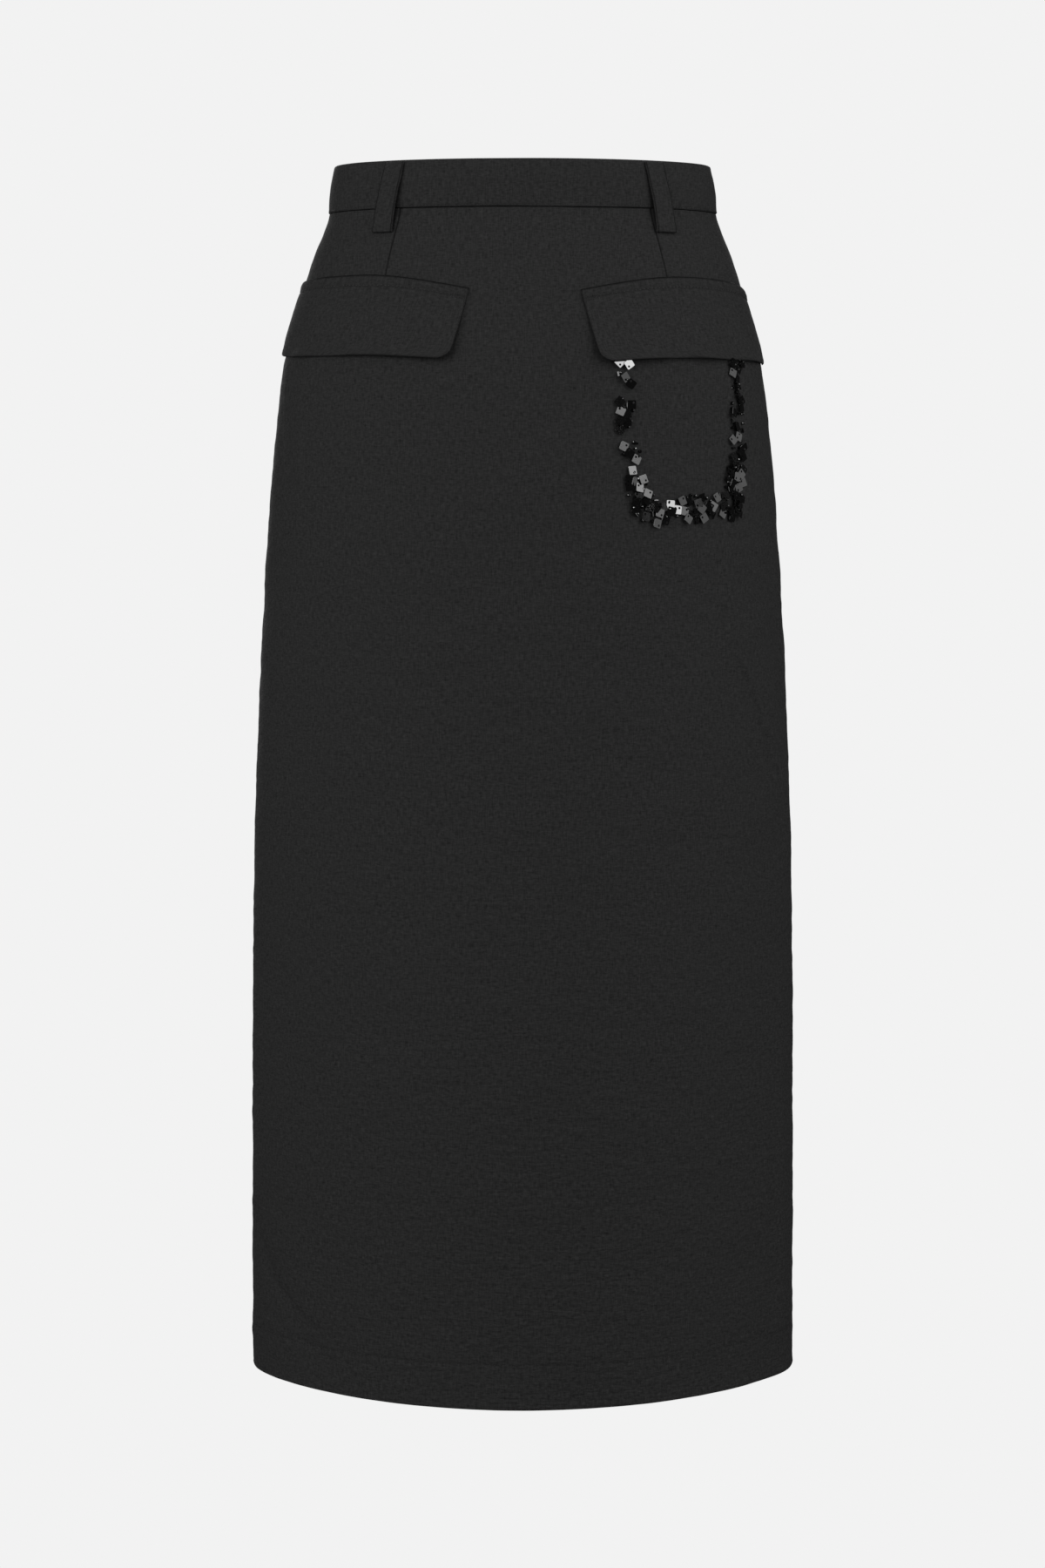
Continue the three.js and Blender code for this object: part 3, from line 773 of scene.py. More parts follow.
# %% Waistband
BAND_PROUD = 0.6 * MM
BAND_THICK = 2.4 * MM
BAND_LAYER = 0.8 * MM
BAND_BULGE = 0.35 * MM
BAND_FOOT = 0.35 * MM
BAND_FOOT_ROLL = 0.3 * MM
BAND_STEPS = 13
BAND_TURNS = 6


def hook(out, radius, top, foot, steps, turns):
    """A half of a folded strip's outline: up one side at an offset, round the fold and down the other."""
    up = [(out, z) for z in np.linspace(foot, top - radius, steps)]
    turn = np.linspace(0, np.pi, turns + 1)[1:-1]
    over = [(out - radius + radius * np.cos(t), top - radius + radius * np.sin(t)) for t in turn]
    down = [(out - 2 * radius, z) for z in np.linspace(top - radius, foot, steps)]
    return up + over + down


def band_outline():
    """The waistband's section: its outer surface, and back along the inside of the fold."""
    outside = hook(BAND_PROUD, BAND_THICK / 2, BAND_HEIGHT, BAND_FOOT, BAND_STEPS, BAND_TURNS)
    gap = BAND_THICK - 2 * BAND_LAYER
    top = BAND_HEIGHT - BAND_LAYER
    inside = hook(BAND_PROUD - BAND_LAYER, gap / 2, top, BAND_FOOT, BAND_STEPS, BAND_TURNS)
    foot_out = (BAND_PROUD - BAND_FOOT_ROLL, 0.0)
    foot_in = (BAND_PROUD - BAND_THICK + BAND_FOOT_ROLL, 0.0)
    return np.array(outside + [foot_in] + inside[::-1] + [foot_out])


def waistband():
    outline = band_outline()
    middle = middle_angles(-CENTRE_BACK, CENTRE_BACK, FINE_STEP)
    angle = panel_angles(-CENTRE_BACK, CENTRE_BACK, outline[:, 1], EDGE_STEPS, middle)
    z = np.broadcast_to(outline[:, 1:], angle.shape)
    base = section_point(angle, z)
    across = cloth_places(base, angle.shape[1] // 2)[..., 0]
    round_it = np.concatenate([[0], np.cumsum(np.linalg.norm(np.diff(outline, axis=0), axis=1))])
    down = np.broadcast_to(round_it[:, None], angle.shape)
    to_edge = np.minimum(across - across[:, :1], across[:, -1:] - across)
    share = np.clip(z / BAND_HEIGHT, 0, 1)
    is_face = (outline[:, :1] > BAND_PROUD - BAND_LAYER / 2).astype(float)
    relief = crinkle(across, down, 5) * 0.8 + BAND_BULGE * np.sin(np.pi * share) ** 0.7 * is_face
    relief += seam_pucker(z, across, 8) * is_face
    closing = turned_in(to_edge, SEAM_ROLL) * np.sign(outline[:, :1] - BAND_PROUD + BAND_THICK / 2)
    points = cloth_point(angle, z, outline[:, :1] + relief + closing)
    rings = points.transpose(1, 0, 2)[:, ::-1]
    places = np.stack([across, down], -1).transpose(1, 0, 2)[:, ::-1]
    return strip("waistband_cloth", rings, places, black_cloth)


band = waistband()
print("waistband faces:", len(band.data.polygons))

# %% [markdown]
# ## The pocket flaps
# A flap is two layers sewn right sides together round three edges and turned out, so its edges are soft
# and round. Its raw top edge is sewn to the skirt upside down, then the flap is folded down over the seam
# and stitched through near the fold, which is why a narrow puffed strip runs above the stitches.

# %% Pocket flaps
FLAP_CROWN_ANGLE = 46
FLAP_SLANT = 13 * MM
FLAP_CORNER = 8 * MM
FLAP_LIFT_AT_END = 4.8 * MM
FLAP_LIFT_AT_SIDE = 0.7 * MM
FLAP_THICK = 1.3 * MM
FLAP_EDGE = 0.9 * MM
FLAP_LENGTH = 178 * MM
FLAP_STITCH_DOWN = 6.8 * MM
FLAP_SWAY = 0.5 * MM
STRIP_PUFF = 0.5 * MM
STITCH_GROOVE = 0.32 * MM
EDGE_RIDGE = 0.22 * MM
FLAP_ROW_STEP = 2.2 * MM
FLAP_CORNER_TURNS = np.array([8, 16, 24, 32, 40, 48, 55, 61, 67, 72, 77, 82, 86, 90])
FLAPS = (
    {
        "name": "flap_left", "side": -1, "place": 34.7, "bulge": 0.9, "seed": 51,
        "top": (-53.8, -43.9, -46.5), "foot": (-101.7, -97.2, -95.2),
    },
    {
        "name": "flap_right", "side": 1, "place": 38, "bulge": 0.5, "seed": 63,
        "top": (-54.6, -45.2, -52.5), "foot": (-103.7, -99.1, -101.0),
    },
)


def angle_at_place(place, z):
    """The angle at which a distance round the skirt from the centre front is reached, at a height."""
    angles = np.arange(0, SIDE + SMALL_ANGLE, SMALL_ANGLE)
    place, z = np.broadcast_arrays(place, z)
    gone = lengths_along(section_point(angles, z.reshape(-1, 1)), 1)
    found = [np.interp(p, row, angles) for p, row in zip(place.ravel(), gone)]
    return np.array(found).reshape(place.shape)


def flap_edge(heights, angle, end_angle):
    """The height of a flap's edge, through its heights at its inner end, its crown and its side."""
    end, crown, side = [MM * height for height in heights]
    rising = np.clip((angle - end_angle) / (FLAP_CROWN_ANGLE - end_angle), 0, 1)
    falling = np.clip((angle - FLAP_CROWN_ANGLE) / (SIDE - FLAP_CROWN_ANGLE), 0, 1)
    inner = end + (crown - end) * np.sin(np.pi / 2 * rising)
    return np.where(angle < FLAP_CROWN_ANGLE, inner, crown + (side - crown) * falling**2)


def flap_depth(flap):
    """How deep a flap is at its inner end."""
    return MM * (flap["top"][0] - flap["foot"][0])


def flap_grid(flap, share, straight_drops, corner_turns):
    """Angle, height, drop and share of each point of a flap, and its depth.

    Rows go down it and columns along it. The turns of its rounded corner are in degrees."""
    depth = flap_depth(flap)
    corner = FLAP_CORNER / depth
    turn = np.radians(np.concatenate([np.zeros_like(straight_drops), corner_turns]))[:, None]
    drop = np.concatenate([straight_drops * (1 - corner), np.full(len(corner_turns), 1 - corner)])[:, None]
    drop = drop + corner * np.sin(turn)
    inset = FLAP_SLANT * drop + FLAP_CORNER * (1 - np.cos(turn))
    place = flap["place"] * MM
    level = MM * (flap["top"][0] + (flap["foot"][0] - flap["top"][0]) * drop)
    start = angle_at_place(place + inset, level)
    end_angle = angle_at_place(place, MM * flap["top"][0])
    angle = start + (SIDE - start) * share
    top = flap_edge(flap["top"], angle, end_angle)
    z = top + (flap_edge(flap["foot"], angle, end_angle) - top) * drop
    return angle, z, np.broadcast_to(drop, angle.shape), np.broadcast_to(share, angle.shape), depth


def flap_lift(flap, drop, share):
    """How far a flap stands off the skirt, most at its free lower corner."""
    hang = (FLAP_LIFT_AT_END + (FLAP_LIFT_AT_SIDE - FLAP_LIFT_AT_END) * np.sqrt(share)) * drop**2
    bulge = MM * flap["bulge"] * np.sin(np.pi * np.clip(drop, 0, 1) ** 1.8) * share**5
    return SEAM_GAP + hang + bulge


def rounded(distance, radius):
    """A share from 0 at an edge to 1 at the radius of its rounding."""
    return np.sqrt(1 - (1 - np.clip(distance / radius, 0, 1)) ** 2)


def hump(place, middle, width):
    """A smooth rise to 1 at a middle."""
    return np.exp(-(((place - middle) / width) ** 2))


def flap_face(drop, share, depth):
    """The height of a flap's outer face over its underside, and its painted shade: a dark line along its
    top fold and a faint one in its stitch groove.
    """
    down, along = drop * depth, share * FLAP_LENGTH
    edge = rounded(down, FLAP_EDGE) * rounded(along, FLAP_EDGE) * rounded(depth - down, FLAP_EDGE)
    thick = FLAP_THICK * (0.1 + 0.9 * edge)
    puff = STRIP_PUFF * hump(down, 0.45 * FLAP_STITCH_DOWN, 2.4 * MM)
    groove = -STITCH_GROOVE * hump(down, FLAP_STITCH_DOWN, 0.9 * MM)
    ridge = EDGE_RIDGE * (hump(depth - down, 2.2 * MM, 1.6 * MM) + hump(along, 2.2 * MM, 1.6 * MM))
    # Painted shade: a dark line along the top fold, where the flap meets the skirt, and a faint one in the
    # stitch groove.
    shade_amount = np.exp(-((down / (1.1 * MM)) ** 4)) + 0.2 * hump(down, FLAP_STITCH_DOWN, 0.6 * MM)
    return thick + (puff + groove + ridge) * edge, shade_amount


def flap_sway(flap, places, drop):
    """The slow wave of a flap's free edge."""
    across = places[..., 0]
    return FLAP_SWAY * waves(across, 0 * across, 60 * MM, 34 * MM, 1, flap["seed"]) * drop**2


def pocket_flap(flap):
    straight = flap_depth(flap) - FLAP_CORNER
    drops = np.arange(EDGE_STEPS[-1] + 1.8 * MM, straight, FLAP_ROW_STEP)
    drops = drops[np.abs(drops - FLAP_STITCH_DOWN) > 1.9 * MM]
    drops = np.sort(np.concatenate([EDGE_STEPS, drops, FLAP_STITCH_DOWN + STITCH_STEPS])) / straight
    steps = np.arange(EDGE_STEPS[-1] + FINE_STEP, FLAP_LENGTH, FINE_STEP)
    shares = np.concatenate([EDGE_STEPS, steps, [FLAP_LENGTH]])
    angle, z, drop, share, depth = flap_grid(flap, shares / FLAP_LENGTH, drops, FLAP_CORNER_TURNS)
    places = cloth_places(section_point(angle, z), 0)
    relief = crinkle(places[..., 0], places[..., 1], flap["seed"] + 1) * 0.7 * rounded(drop * depth, 3 * MM)
    face, shade_amount = flap_face(drop, share, depth)
    under = flap_lift(flap, drop, share) + flap_sway(flap, places, drop)
    outer = cloth_point(flap["side"] * angle, z, under + face + relief)

    few = np.concatenate([shares[:1], shares[7::3], shares[-1:]]) / FLAP_LENGTH
    angle, z, drop, share, depth = flap_grid(flap, few, drops[::4], FLAP_CORNER_TURNS[1::3])
    inner_places = cloth_places(section_point(angle, z), 0)
    lift = flap_lift(flap, drop, share) + flap_sway(flap, inner_places, drop)
    inner = cloth_point(flap["side"] * angle, z, lift)
    for grid in (outer, inner):
        grid[:, -1, 1] = np.minimum(grid[:, -1, 1], -SEAM_GAP / 2)
    return shell(flap["name"] + "_cloth", outer, inner, places, inner_places, black_cloth, shade_amount)


flaps = {flap["name"]: pocket_flap(flap) for flap in FLAPS}
for name, made in flaps.items():
    volume = signed_volume(made.data) * 1e6
    print(name, "faces:", len(made.data.polygons), "volume in cm3:", round(volume, 2))

# %% [markdown]
# ## Belt loops
# A belt loop is a narrow strip with both its sides folded to the back, where the raw edges meet. It is
# sewn in with the top of the waistband, stands a little off it for the belt, and ends in a small fold
# under which it is sewn to the skirt. The outline is the folded strip in section, carried down the loop.

# %% Belt loops
LOOP_WIDTH = 14.6 * MM
LOOP_LEAN = 1.2
LOOP_TOP = 30 * MM
LOOP_FOOT = -16.2 * MM
LOOP_BOW = 0.6 * MM
LOOP_THICK = 1.4 * MM
LOOP_LAYER = 0.5 * MM
LOOP_GAP = 0.3 * MM
LOOP_FOLD = 6 * MM
LOOP_FOLD_RISE = 0.5
LOOP_STEP = 1.4 * MM
LOOP_BEND = 0.5
LOOP_TURNS = 7
LOOP_ACROSS = 25
LOOP_RELIEF = 0.08 * MM
# The width of the painted shade along each side of a belt loop.
LOOP_LINE = 0.4 * MM
LOOPS = (
    ("belt_loop_front_left", -42.8),
    ("belt_loop_front_right", 44.2),
    ("belt_loop_back_right", 134),
    ("belt_loop_back_left", -134),
)


def loop_outline():
    """The folded strip in section: how far across it and how far out each point lies."""
    turn = np.linspace(-np.pi / 2, np.pi / 2, LOOP_TURNS)
    middle = LOOP_THICK / 2
    flat = LOOP_WIDTH / 2 - middle
    across = np.linspace(flat, -flat, LOOP_ACROSS)[1:-1]

    def half_round(radius):
        return flat + radius * np.cos(turn), middle + radius * np.sin(turn)

    def ring(radius):
        u, out = half_round(radius)
        face = np.full(across.shape, middle + radius)
        return (np.concatenate([[LOOP_GAP], u, across, -u[::-1], [-LOOP_GAP]]),
                np.concatenate([[middle - radius], out, face, out[::-1], [middle - radius]]))

    outer_u, outer_out = ring(middle)
    inner_u, inner_out = ring(middle - LOOP_LAYER)
    return np.concatenate([outer_u, inner_u[::-1]]), np.concatenate([outer_out, inner_out[::-1]])


def belt_loop(name, angle):
    u, out = loop_outline()
    length = LOOP_TOP - LOOP_FOOT
    steps = np.arange(EDGE_STEPS[-1] + LOOP_STEP, length - EDGE_STEPS[-1], LOOP_STEP)
    along = np.concatenate([EDGE_STEPS, steps, length - EDGE_STEPS[::-1]])[:, None]
    round_it = angle + np.degrees(u / np.linalg.norm(section_point(angle, 0)))
    lean = LOOP_LEAN * np.sign(np.sin(np.radians(2 * angle)))
    head = cloth_point(round_it - lean, LOOP_TOP, BAND_PROUD + SEAM_GAP)
    foot = cloth_point(round_it, LOOP_FOOT, SEAM_GAP)
    share = along / length
    folded = np.clip((along - length + LOOP_FOLD) / MM, 0, 1)
    end = rounded(np.minimum(along, length - along), LOOP_THICK / 2)
    middle = LOOP_THICK / 2
    thick = middle + (out - middle) * (0.15 + 0.85 * end)
    thick = thick * (1 + LOOP_FOLD_RISE * folded) + LOOP_BOW * np.sin(np.pi * share)
    thick = thick + LOOP_RELIEF * waves(u + 0 * along, along + 0 * u, 20 * MM, 7 * MM, 1, round(angle) % 97)
    bend = LOOP_BEND * np.sign(lean) * np.sin(np.pi * share ** 1.4)
    aside = cloth_point(angle + bend, 0.0 * bend) - cloth_point(angle, 0.0 * bend)
    rings = head + (foot - head) * share[..., None] + aside + outward(angle, 0.0) * thick[..., None]
    places = np.stack([np.broadcast_to(u, thick.shape), np.broadcast_to(along, thick.shape)], -1)
    # Painted shade: a thin dark line along each side of the loop's face, where it stands on the band.
    to_side = np.abs(np.abs(u) - LOOP_WIDTH / 2 + LOOP_THICK / 2)
    shade_amount = np.broadcast_to(np.clip(1.2 - to_side / LOOP_LINE, 0, 1), thick.shape)
    return strip(name + "_cloth", rings, places, black_cloth, shade_amount)


loops = {name: belt_loop(name, angle) for name, angle in LOOPS}
print("belt loops:", len(loops), "faces of each:", len(next(iter(loops.values())).data.polygons))

# %% [markdown]
# ## The zip's tape
# The skirt closes at the centre back with a concealed zip. Its two tapes lie flat behind the seam, one
# on each side, and carry the coil on their inner face. From outside only the slider and its pull show.

# %% Zip tape
TAPE_WIDTH = 26 * MM
TAPE_TOP = 29 * MM
TAPE_FOOT = -190 * MM
TAPE_CLOTH = 0.6 * MM
TAPE_PARTING = 0.5 * MM
BEHIND_BAND = -2.3 * MM
BEHIND_PANEL = -1.7 * MM
TAPE_STEP = 2.5 * MM
TAPE_RIPPLE = 0.1 * MM


def tape_out(z):
    """How far inside the cloth's outer face the tape lies, eased over from the band to the panel."""
    return BEHIND_PANEL + (BEHIND_BAND - BEHIND_PANEL) * np.clip((z + 3 * MM) / (6 * MM), 0, 1)


def tape_half(side):
    across = np.linspace(TAPE_PARTING, TAPE_WIDTH / 2, 7)
    across = np.sort(-across if side < 0 else across)
    z = np.arange(TAPE_TOP, TAPE_FOOT, -TAPE_STEP)[:, None]
    angle = CENTRE_BACK - np.degrees(across / section_size("half", z))[:, ::-1]
    places = cloth_places(section_point(angle, z + 0 * angle), 0)
    ripple = TAPE_RIPPLE * waves(across, z, 24 * MM, 10 * MM, 1, 71)
    outer = cloth_point(angle, z + 0 * angle, tape_out(z) + ripple)
    inner = cloth_point(angle, z + 0 * angle, tape_out(z) + ripple - TAPE_CLOTH)
    return shell("tape half", outer, inner, places, places, zip_twill)


def joined(name, parts):
    """Several objects as one mesh."""
    whole = bmesh.new()
    for part in parts:
        whole.from_mesh(part.data)
    mesh = parts[0].data.copy()
    whole.to_mesh(mesh)
    whole.free()
    for part in parts:
        bpy.data.objects.remove(part)
    mesh.name = name
    made = bpy.data.objects.new(name, mesh)
    scene.collection.objects.link(made)
    return made


tape = joined("zip_tape_cloth", [tape_half(-1), tape_half(1)])
print("zip tape faces:", len(tape.data.polygons))

# %% [markdown]
# ## Slider and pull
# The slider and its pull are small castings under black enamel. The CAD solids already have their form,
# so a copy of each is merged, freed of its spare edges and bevelled. Enamel is hard and smooth with
# a faint ripple, and it wears thin on the corners, where the grey of the metal shows through.

# %% Slider and pull
WORN_FROM = 0.53
WORN_CONTRAST = 14
ENAMEL = (0.010, 0.010, 0.011, 1)
BARE_METAL = (0.16, 0.16, 0.165, 1)


def enamelled_metal():
    material, graph, shader = surface_material("black enamelled metal", Specular_IOR_Level=0.5)
    place = graph.add("ShaderNodeTexCoord", output="Object")
    blotch = noise(graph, place, 1.5 * MM, 1.5 * MM, 4.0)
    corner = graph.add("ShaderNodeNewGeometry", output="Pointiness")
    worn = graph.add("ShaderNodeMath", {"operation": "MULTIPLY", "use_clamp": True},
                     {0: (corner - WORN_FROM) * WORN_CONTRAST, 1: blotch})
    link(graph, blend(graph, worn, ENAMEL, BARE_METAL), shader, "Base Color")
    link(graph, worn * 0.9, shader, "Metallic")
    link(graph, 0.24 + blotch * 0.18, shader, "Roughness")
    raise_by(graph, blotch * (0.02 * MM), shader)
    return material


enamel = enamelled_metal()
FLAT_ANGLE = math.radians(2)


def finished_copy(node, bevel):
    """A merged and bevelled copy of a CAD solid."""
    solid = bmesh.new()
    solid.from_mesh(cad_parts[node].data)
    bmesh.ops.remove_doubles(solid, verts=solid.verts, dist=0.001 * MM)
    bmesh.ops.dissolve_limit(solid, angle_limit=FLAT_ANGLE, verts=solid.verts, edges=solid.edges)
    mesh = bpy.data.meshes.new(node + "_metal")
    solid.to_mesh(mesh)
    solid.free()
    rough = bpy.data.objects.new(node + "_rough", mesh)
    scene.collection.objects.link(rough)
    rounding = rough.modifiers.new("rounding", "BEVEL")
    rounding.width, rounding.segments, rounding.limit_method = bevel, 3, "ANGLE"
    return settled(rough, node + "_metal", enamel)


def settled(guide, name, material=None):
    """The evaluated result of an object's modifiers as a plain mesh object, which takes its place."""
    depsgraph = bpy.context.evaluated_depsgraph_get()
    mesh = bpy.data.meshes.new_from_object(guide.evaluated_get(depsgraph), depsgraph=depsgraph)
    bpy.data.objects.remove(guide)
    mesh.name = name
    if material:
        mesh.materials.clear()
        mesh.materials.append(material)
    made = bpy.data.objects.new(name, mesh)
    scene.collection.objects.link(made)
    return made


slider = finished_copy("zip_slider", 0.16 * MM)
pull = finished_copy("zip_pull", 0.2 * MM)
print("slider faces:", len(slider.data.polygons), "pull faces:", len(pull.data.polygons))

# %% [markdown]
# ## A tree for rows of stitches
# Stitches repeat along a line, so Geometry Nodes make them. The line is a chain of points that already
# lie on the cloth, each with the direction the cloth faces there. The tree spaces points evenly along it,
# turns each to follow the line and face out, sets one small bead of thread on each, and makes them real.
# The same tree makes the zip's coil, whose turns are only larger and lie across the line.

# %% Row tree
FACING = "facing"
STITCH_SEGMENTS = 8
STITCH_RINGS = 6


def new_tree(name, inputs):
    """A Geometry Nodes tree with named inputs, as a graph."""
    tree = bpy.data.node_groups.new(name, "GeometryNodeTree")
    tree.interface.new_socket("Geometry", in_out="OUTPUT", socket_type="NodeSocketGeometry")
    tree.interface.new_socket("Geometry", in_out="INPUT", socket_type="NodeSocketGeometry")
    for label, kind in inputs:
        tree.interface.new_socket(label, in_out="INPUT", socket_type=kind)
    return Graph(tree)


def given(graph, label):
    return graph.add("NodeGroupInput", output=label)


def row_tree():
    graph = new_tree("row along a line", (
        ("Pitch", "NodeSocketFloat"), ("Size", "NodeSocketVector"), ("Material", "NodeSocketMaterial"),
    ))
    line = graph.add("GeometryNodeMeshToCurve", sockets={"Mesh": given(graph, "Geometry")})
    even = graph.add("GeometryNodeResampleCurve", {"mode": "LENGTH"},
                     {"Curve": line, "Length": given(graph, "Pitch")})
    along = graph.add("FunctionNodeAlignRotationToVector", {"axis": "X"},
                      {"Vector": graph.add("GeometryNodeInputTangent")})
    facing = graph.add("GeometryNodeInputNamedAttribute", {"data_type": "FLOAT_VECTOR"}, {"Name": FACING})
    turned = graph.add("FunctionNodeAlignRotationToVector", {"axis": "Z", "pivot_axis": "X"},
                       {"Rotation": along, "Vector": facing})
    round_bead = graph.add("GeometryNodeMeshUVSphere",
                           sockets={"Segments": STITCH_SEGMENTS, "Rings": STITCH_RINGS, "Radius": 0.5})
    bead = graph.add("GeometryNodeTransform",
                     sockets={"Geometry": round_bead, "Scale": given(graph, "Size")})
    placed = graph.add("GeometryNodeInstanceOnPoints",
                       sockets={"Points": even, "Instance": bead, "Rotation": turned})
    real = graph.add("GeometryNodeRealizeInstances", sockets={"Geometry": placed})
    smooth = graph.add("GeometryNodeSetShadeSmooth", sockets={"Geometry": real, "Shade Smooth": True})
    finished = graph.add("GeometryNodeSetMaterial",
                         sockets={"Geometry": smooth, "Material": given(graph, "Material")})
    graph.end("NodeGroupOutput", "Geometry", finished)
    return graph.tree


ROW = row_tree()


def grown(guide, name, tree, **values):
    """A tree run on a guide object, with its inputs set by identifier, as a plain mesh object."""
    modifier = guide.modifiers.new(tree.name, "NODES")
    modifier.node_group = tree
    for item in tree.interface.items_tree:
        if item.in_out == "INPUT" and item.name.replace(" ", "_") in values:
            modifier[item.identifier] = values[item.name.replace(" ", "_")]
    return settled(guide, name)


# %% [markdown]
# ## Where the stitches lie
# A line of stitches has to lie on the finished cloth and not on the smooth form under it. Each chain of
# points is first placed by angle and height, then moved to the nearest place of the finished piece.

# %% Lines on the cloth
from mathutils.bvhtree import BVHTree


def chain(lines):
    """Lines of points with facings as one mesh of edges."""
    points = np.concatenate([line for line, _ in lines])
    facings = np.concatenate([facing for _, facing in lines])
    edges, start = [], 0
    for line, _ in lines:
        edges += [(k, k + 1) for k in range(start, start + len(line) - 1)]
        start += len(line)
    mesh = bpy.data.meshes.new("chain")
    mesh.from_pydata(points.tolist(), edges, [])
    mesh.attributes.new(FACING, "FLOAT_VECTOR", "POINT").data.foreach_set("vector", facings.ravel())
    guide = bpy.data.objects.new("chain", mesh)
    scene.collection.objects.link(guide)
    return guide


def seated(points, surface, lift):
    """A line moved onto a surface and then out by a lift, with the direction it faces."""
    places, facings = [], []
    for point in points:
        place, normal = surface.find_nearest(Vector(point))[:2]
        places.append(place + normal * lift)
        facings.append(normal)
    return np.array(places), np.array(facings)


def surface_of(piece):
    points = [vertex.co for vertex in piece.data.vertices]
    return BVHTree.FromPolygons(points, [face.vertices for face in piece.data.polygons])


surfaces = {name: surface_of(piece) for name, piece in {**panels, **flaps, "waistband": band}.items()}

# %% [markdown]
# ## The rows
# The waistband is edge stitched just above its seam. Each flap has a row near its fold, with a short bar
# of close stitches where its free end begins. The hem is caught from inside, so only pricks show, and
# they lie a little apart. The zip's coil runs down the tape's inner face.

# %% Stitches
THREAD_LIFT = 0.02 * MM
BAND_STITCH_Z = 1.0 * MM
BAR_SPACING = 0.55 * MM
WELL_OUT = 2 * MM
ROW_STEP = 0.6
HEM_ROW_MARGIN = 0.8
FLAP_LINE_STEP = 1.5 * MM
COIL_BELOW_TOP = 4 * MM
COIL_ABOVE_FOOT = 6 * MM
COIL_BEHIND_TAPE = 0.4 * MM


def band_row():
    angle = np.arange(ROW_STEP - CENTRE_BACK, CENTRE_BACK - ROW_STEP / 2, ROW_STEP)
    line = cloth_point(angle, np.full(angle.shape, BAND_STITCH_Z), BAND_PROUD + WELL_OUT)
    return [seated(line, surfaces["waistband"], THREAD_LIFT)]


def flap_row(flap, first, last, down):
    """A line along a flap, between two shares of its length, at a distance below its top edge."""
    drop = np.array([down / (flap_depth(flap) - FLAP_CORNER)])
    shares = np.linspace(first, last, max(4, round((last - first) * FLAP_LENGTH / FLAP_LINE_STEP)))
    angle, z, drop, share, _ = flap_grid(flap, shares, drop, np.array([]))
    out = flap_lift(flap, drop, share) + FLAP_THICK + WELL_OUT
    line = cloth_point(flap["side"] * angle, z, out)[0]
    return seated(line, surfaces[flap["name"]], THREAD_LIFT)


def hem_rows():
    lines = []
    for name, first, last, _ in PANELS:
        count = round(abs(last - first) / ROW_STEP)
        angle = np.linspace(first + HEM_ROW_MARGIN, last - HEM_ROW_MARGIN, count)
        z = lifted(angle, np.full(angle.shape, HEM_STITCH_Z))
        lines.append(seated(cloth_point(angle, z, WELL_OUT), surfaces[name], 0.0))
    return lines


def coil_line():
    z = np.arange(TAPE_TOP - COIL_BELOW_TOP, TAPE_FOOT + COIL_ABOVE_FOOT, -TAPE_STEP)
    angle = np.full(z.shape, float(CENTRE_BACK))
    return cloth_point(angle, z, tape_out(z) - TAPE_CLOTH - COIL_BEHIND_TAPE), -outward(angle, z)


bar_drops = [FLAP_STITCH_DOWN + k * BAR_SPACING for k in (-1, 0, 1)]
flap_lines = [flap_row(flap, 0.03, 0.985, FLAP_STITCH_DOWN) for flap in FLAPS]
bar_lines = [flap_row(flap, 0.008, 0.05, drop) for flap in FLAPS for drop in bar_drops]
STITCHING = (
    # name, lines, then the pitch and the size of one stitch in millimetres
    ("waistband_stitches", band_row(), 2.5, (1.9, 0.42, 0.3)),
    ("flap_stitches", flap_lines, 2.85, (1.5, 0.75, 0.4)),
    ("flap_bars", bar_lines, 1.5, (1.5, 0.55, 0.5)),
    ("hem_stitches", hem_rows(), 3.6, (0.8, 0.4, 0.25)),
    ("zip_coil", [coil_line()], 1.3, (0.9, 3.6, 1.0)),
)
rows = {}
for name, lines, pitch, size in STITCHING:
    size = tuple(part * MM for part in size)
    rows[name] = grown(chain(lines), name, ROW, Pitch=pitch * MM, Size=size, Material=thread)
    print(name, "faces:", len(rows[name].data.polygons))

# %% [markdown]
# ## Sequins and beads
# The trim is a plain band of square sequins and cut beads that hangs from the right flap in the shape of
# a pocket. A sequin is punched from thin film, with a hole near one corner. A cut bead is a small drum
# with flat facets, which is why it glints. One of each is modelled, and the next cell scatters them.

# %% One sequin, one bead, one bugle
SEQUIN_SIZE = 5.8 * MM
SEQUIN_THICK = 0.25 * MM
SEQUIN_ROUNDNESS = 0.2
SEQUIN_SIDES = 32
SEQUIN_HOLE = 0.75 * MM
SEQUIN_HOLE_SHIFT = 1.25 * MM
# A sequin's ring: a share of the way from its hole to its edge, then a share of half its thickness.
SEQUIN_RING = ((0, -1), (0, 1), (0.5, 1), (0.97, 1), (1, 0), (0.97, -1), (0.5, -1))
BEAD_SIZE = 2.3 * MM
BUGLE_SIZE = 1.4 * MM
BUGLE_LENGTH = 3.2 * MM
# Profiles of a bead and a bugle: a share of its radius, then a share of half its length.
BEAD_PROFILE = ((0.35, -0.62), (0.72, -0.7), (1, -0.25), (1, 0.25), (0.72, 0.7), (0.35, 0.62))
BUGLE_PROFILE = ((0.4, -1), (0.9, -1), (1, -0.92), (1, 0.92), (0.9, 1), (0.4, 1))


def lathe(name, profile, size, length, sides):
    """A solid with a hole down its middle: a closed profile turned round an axis."""
    turn = np.linspace(0, 2 * np.pi, sides, endpoint=False)
    radius, height = np.array(profile).T * [[size / 2], [length / 2]]
    rings = np.stack([np.outer(np.cos(turn), radius), np.outer(np.sin(turn), radius),
                      np.broadcast_to(height, (sides, len(profile)))], -1)
    return torus_mesh(name, rings)


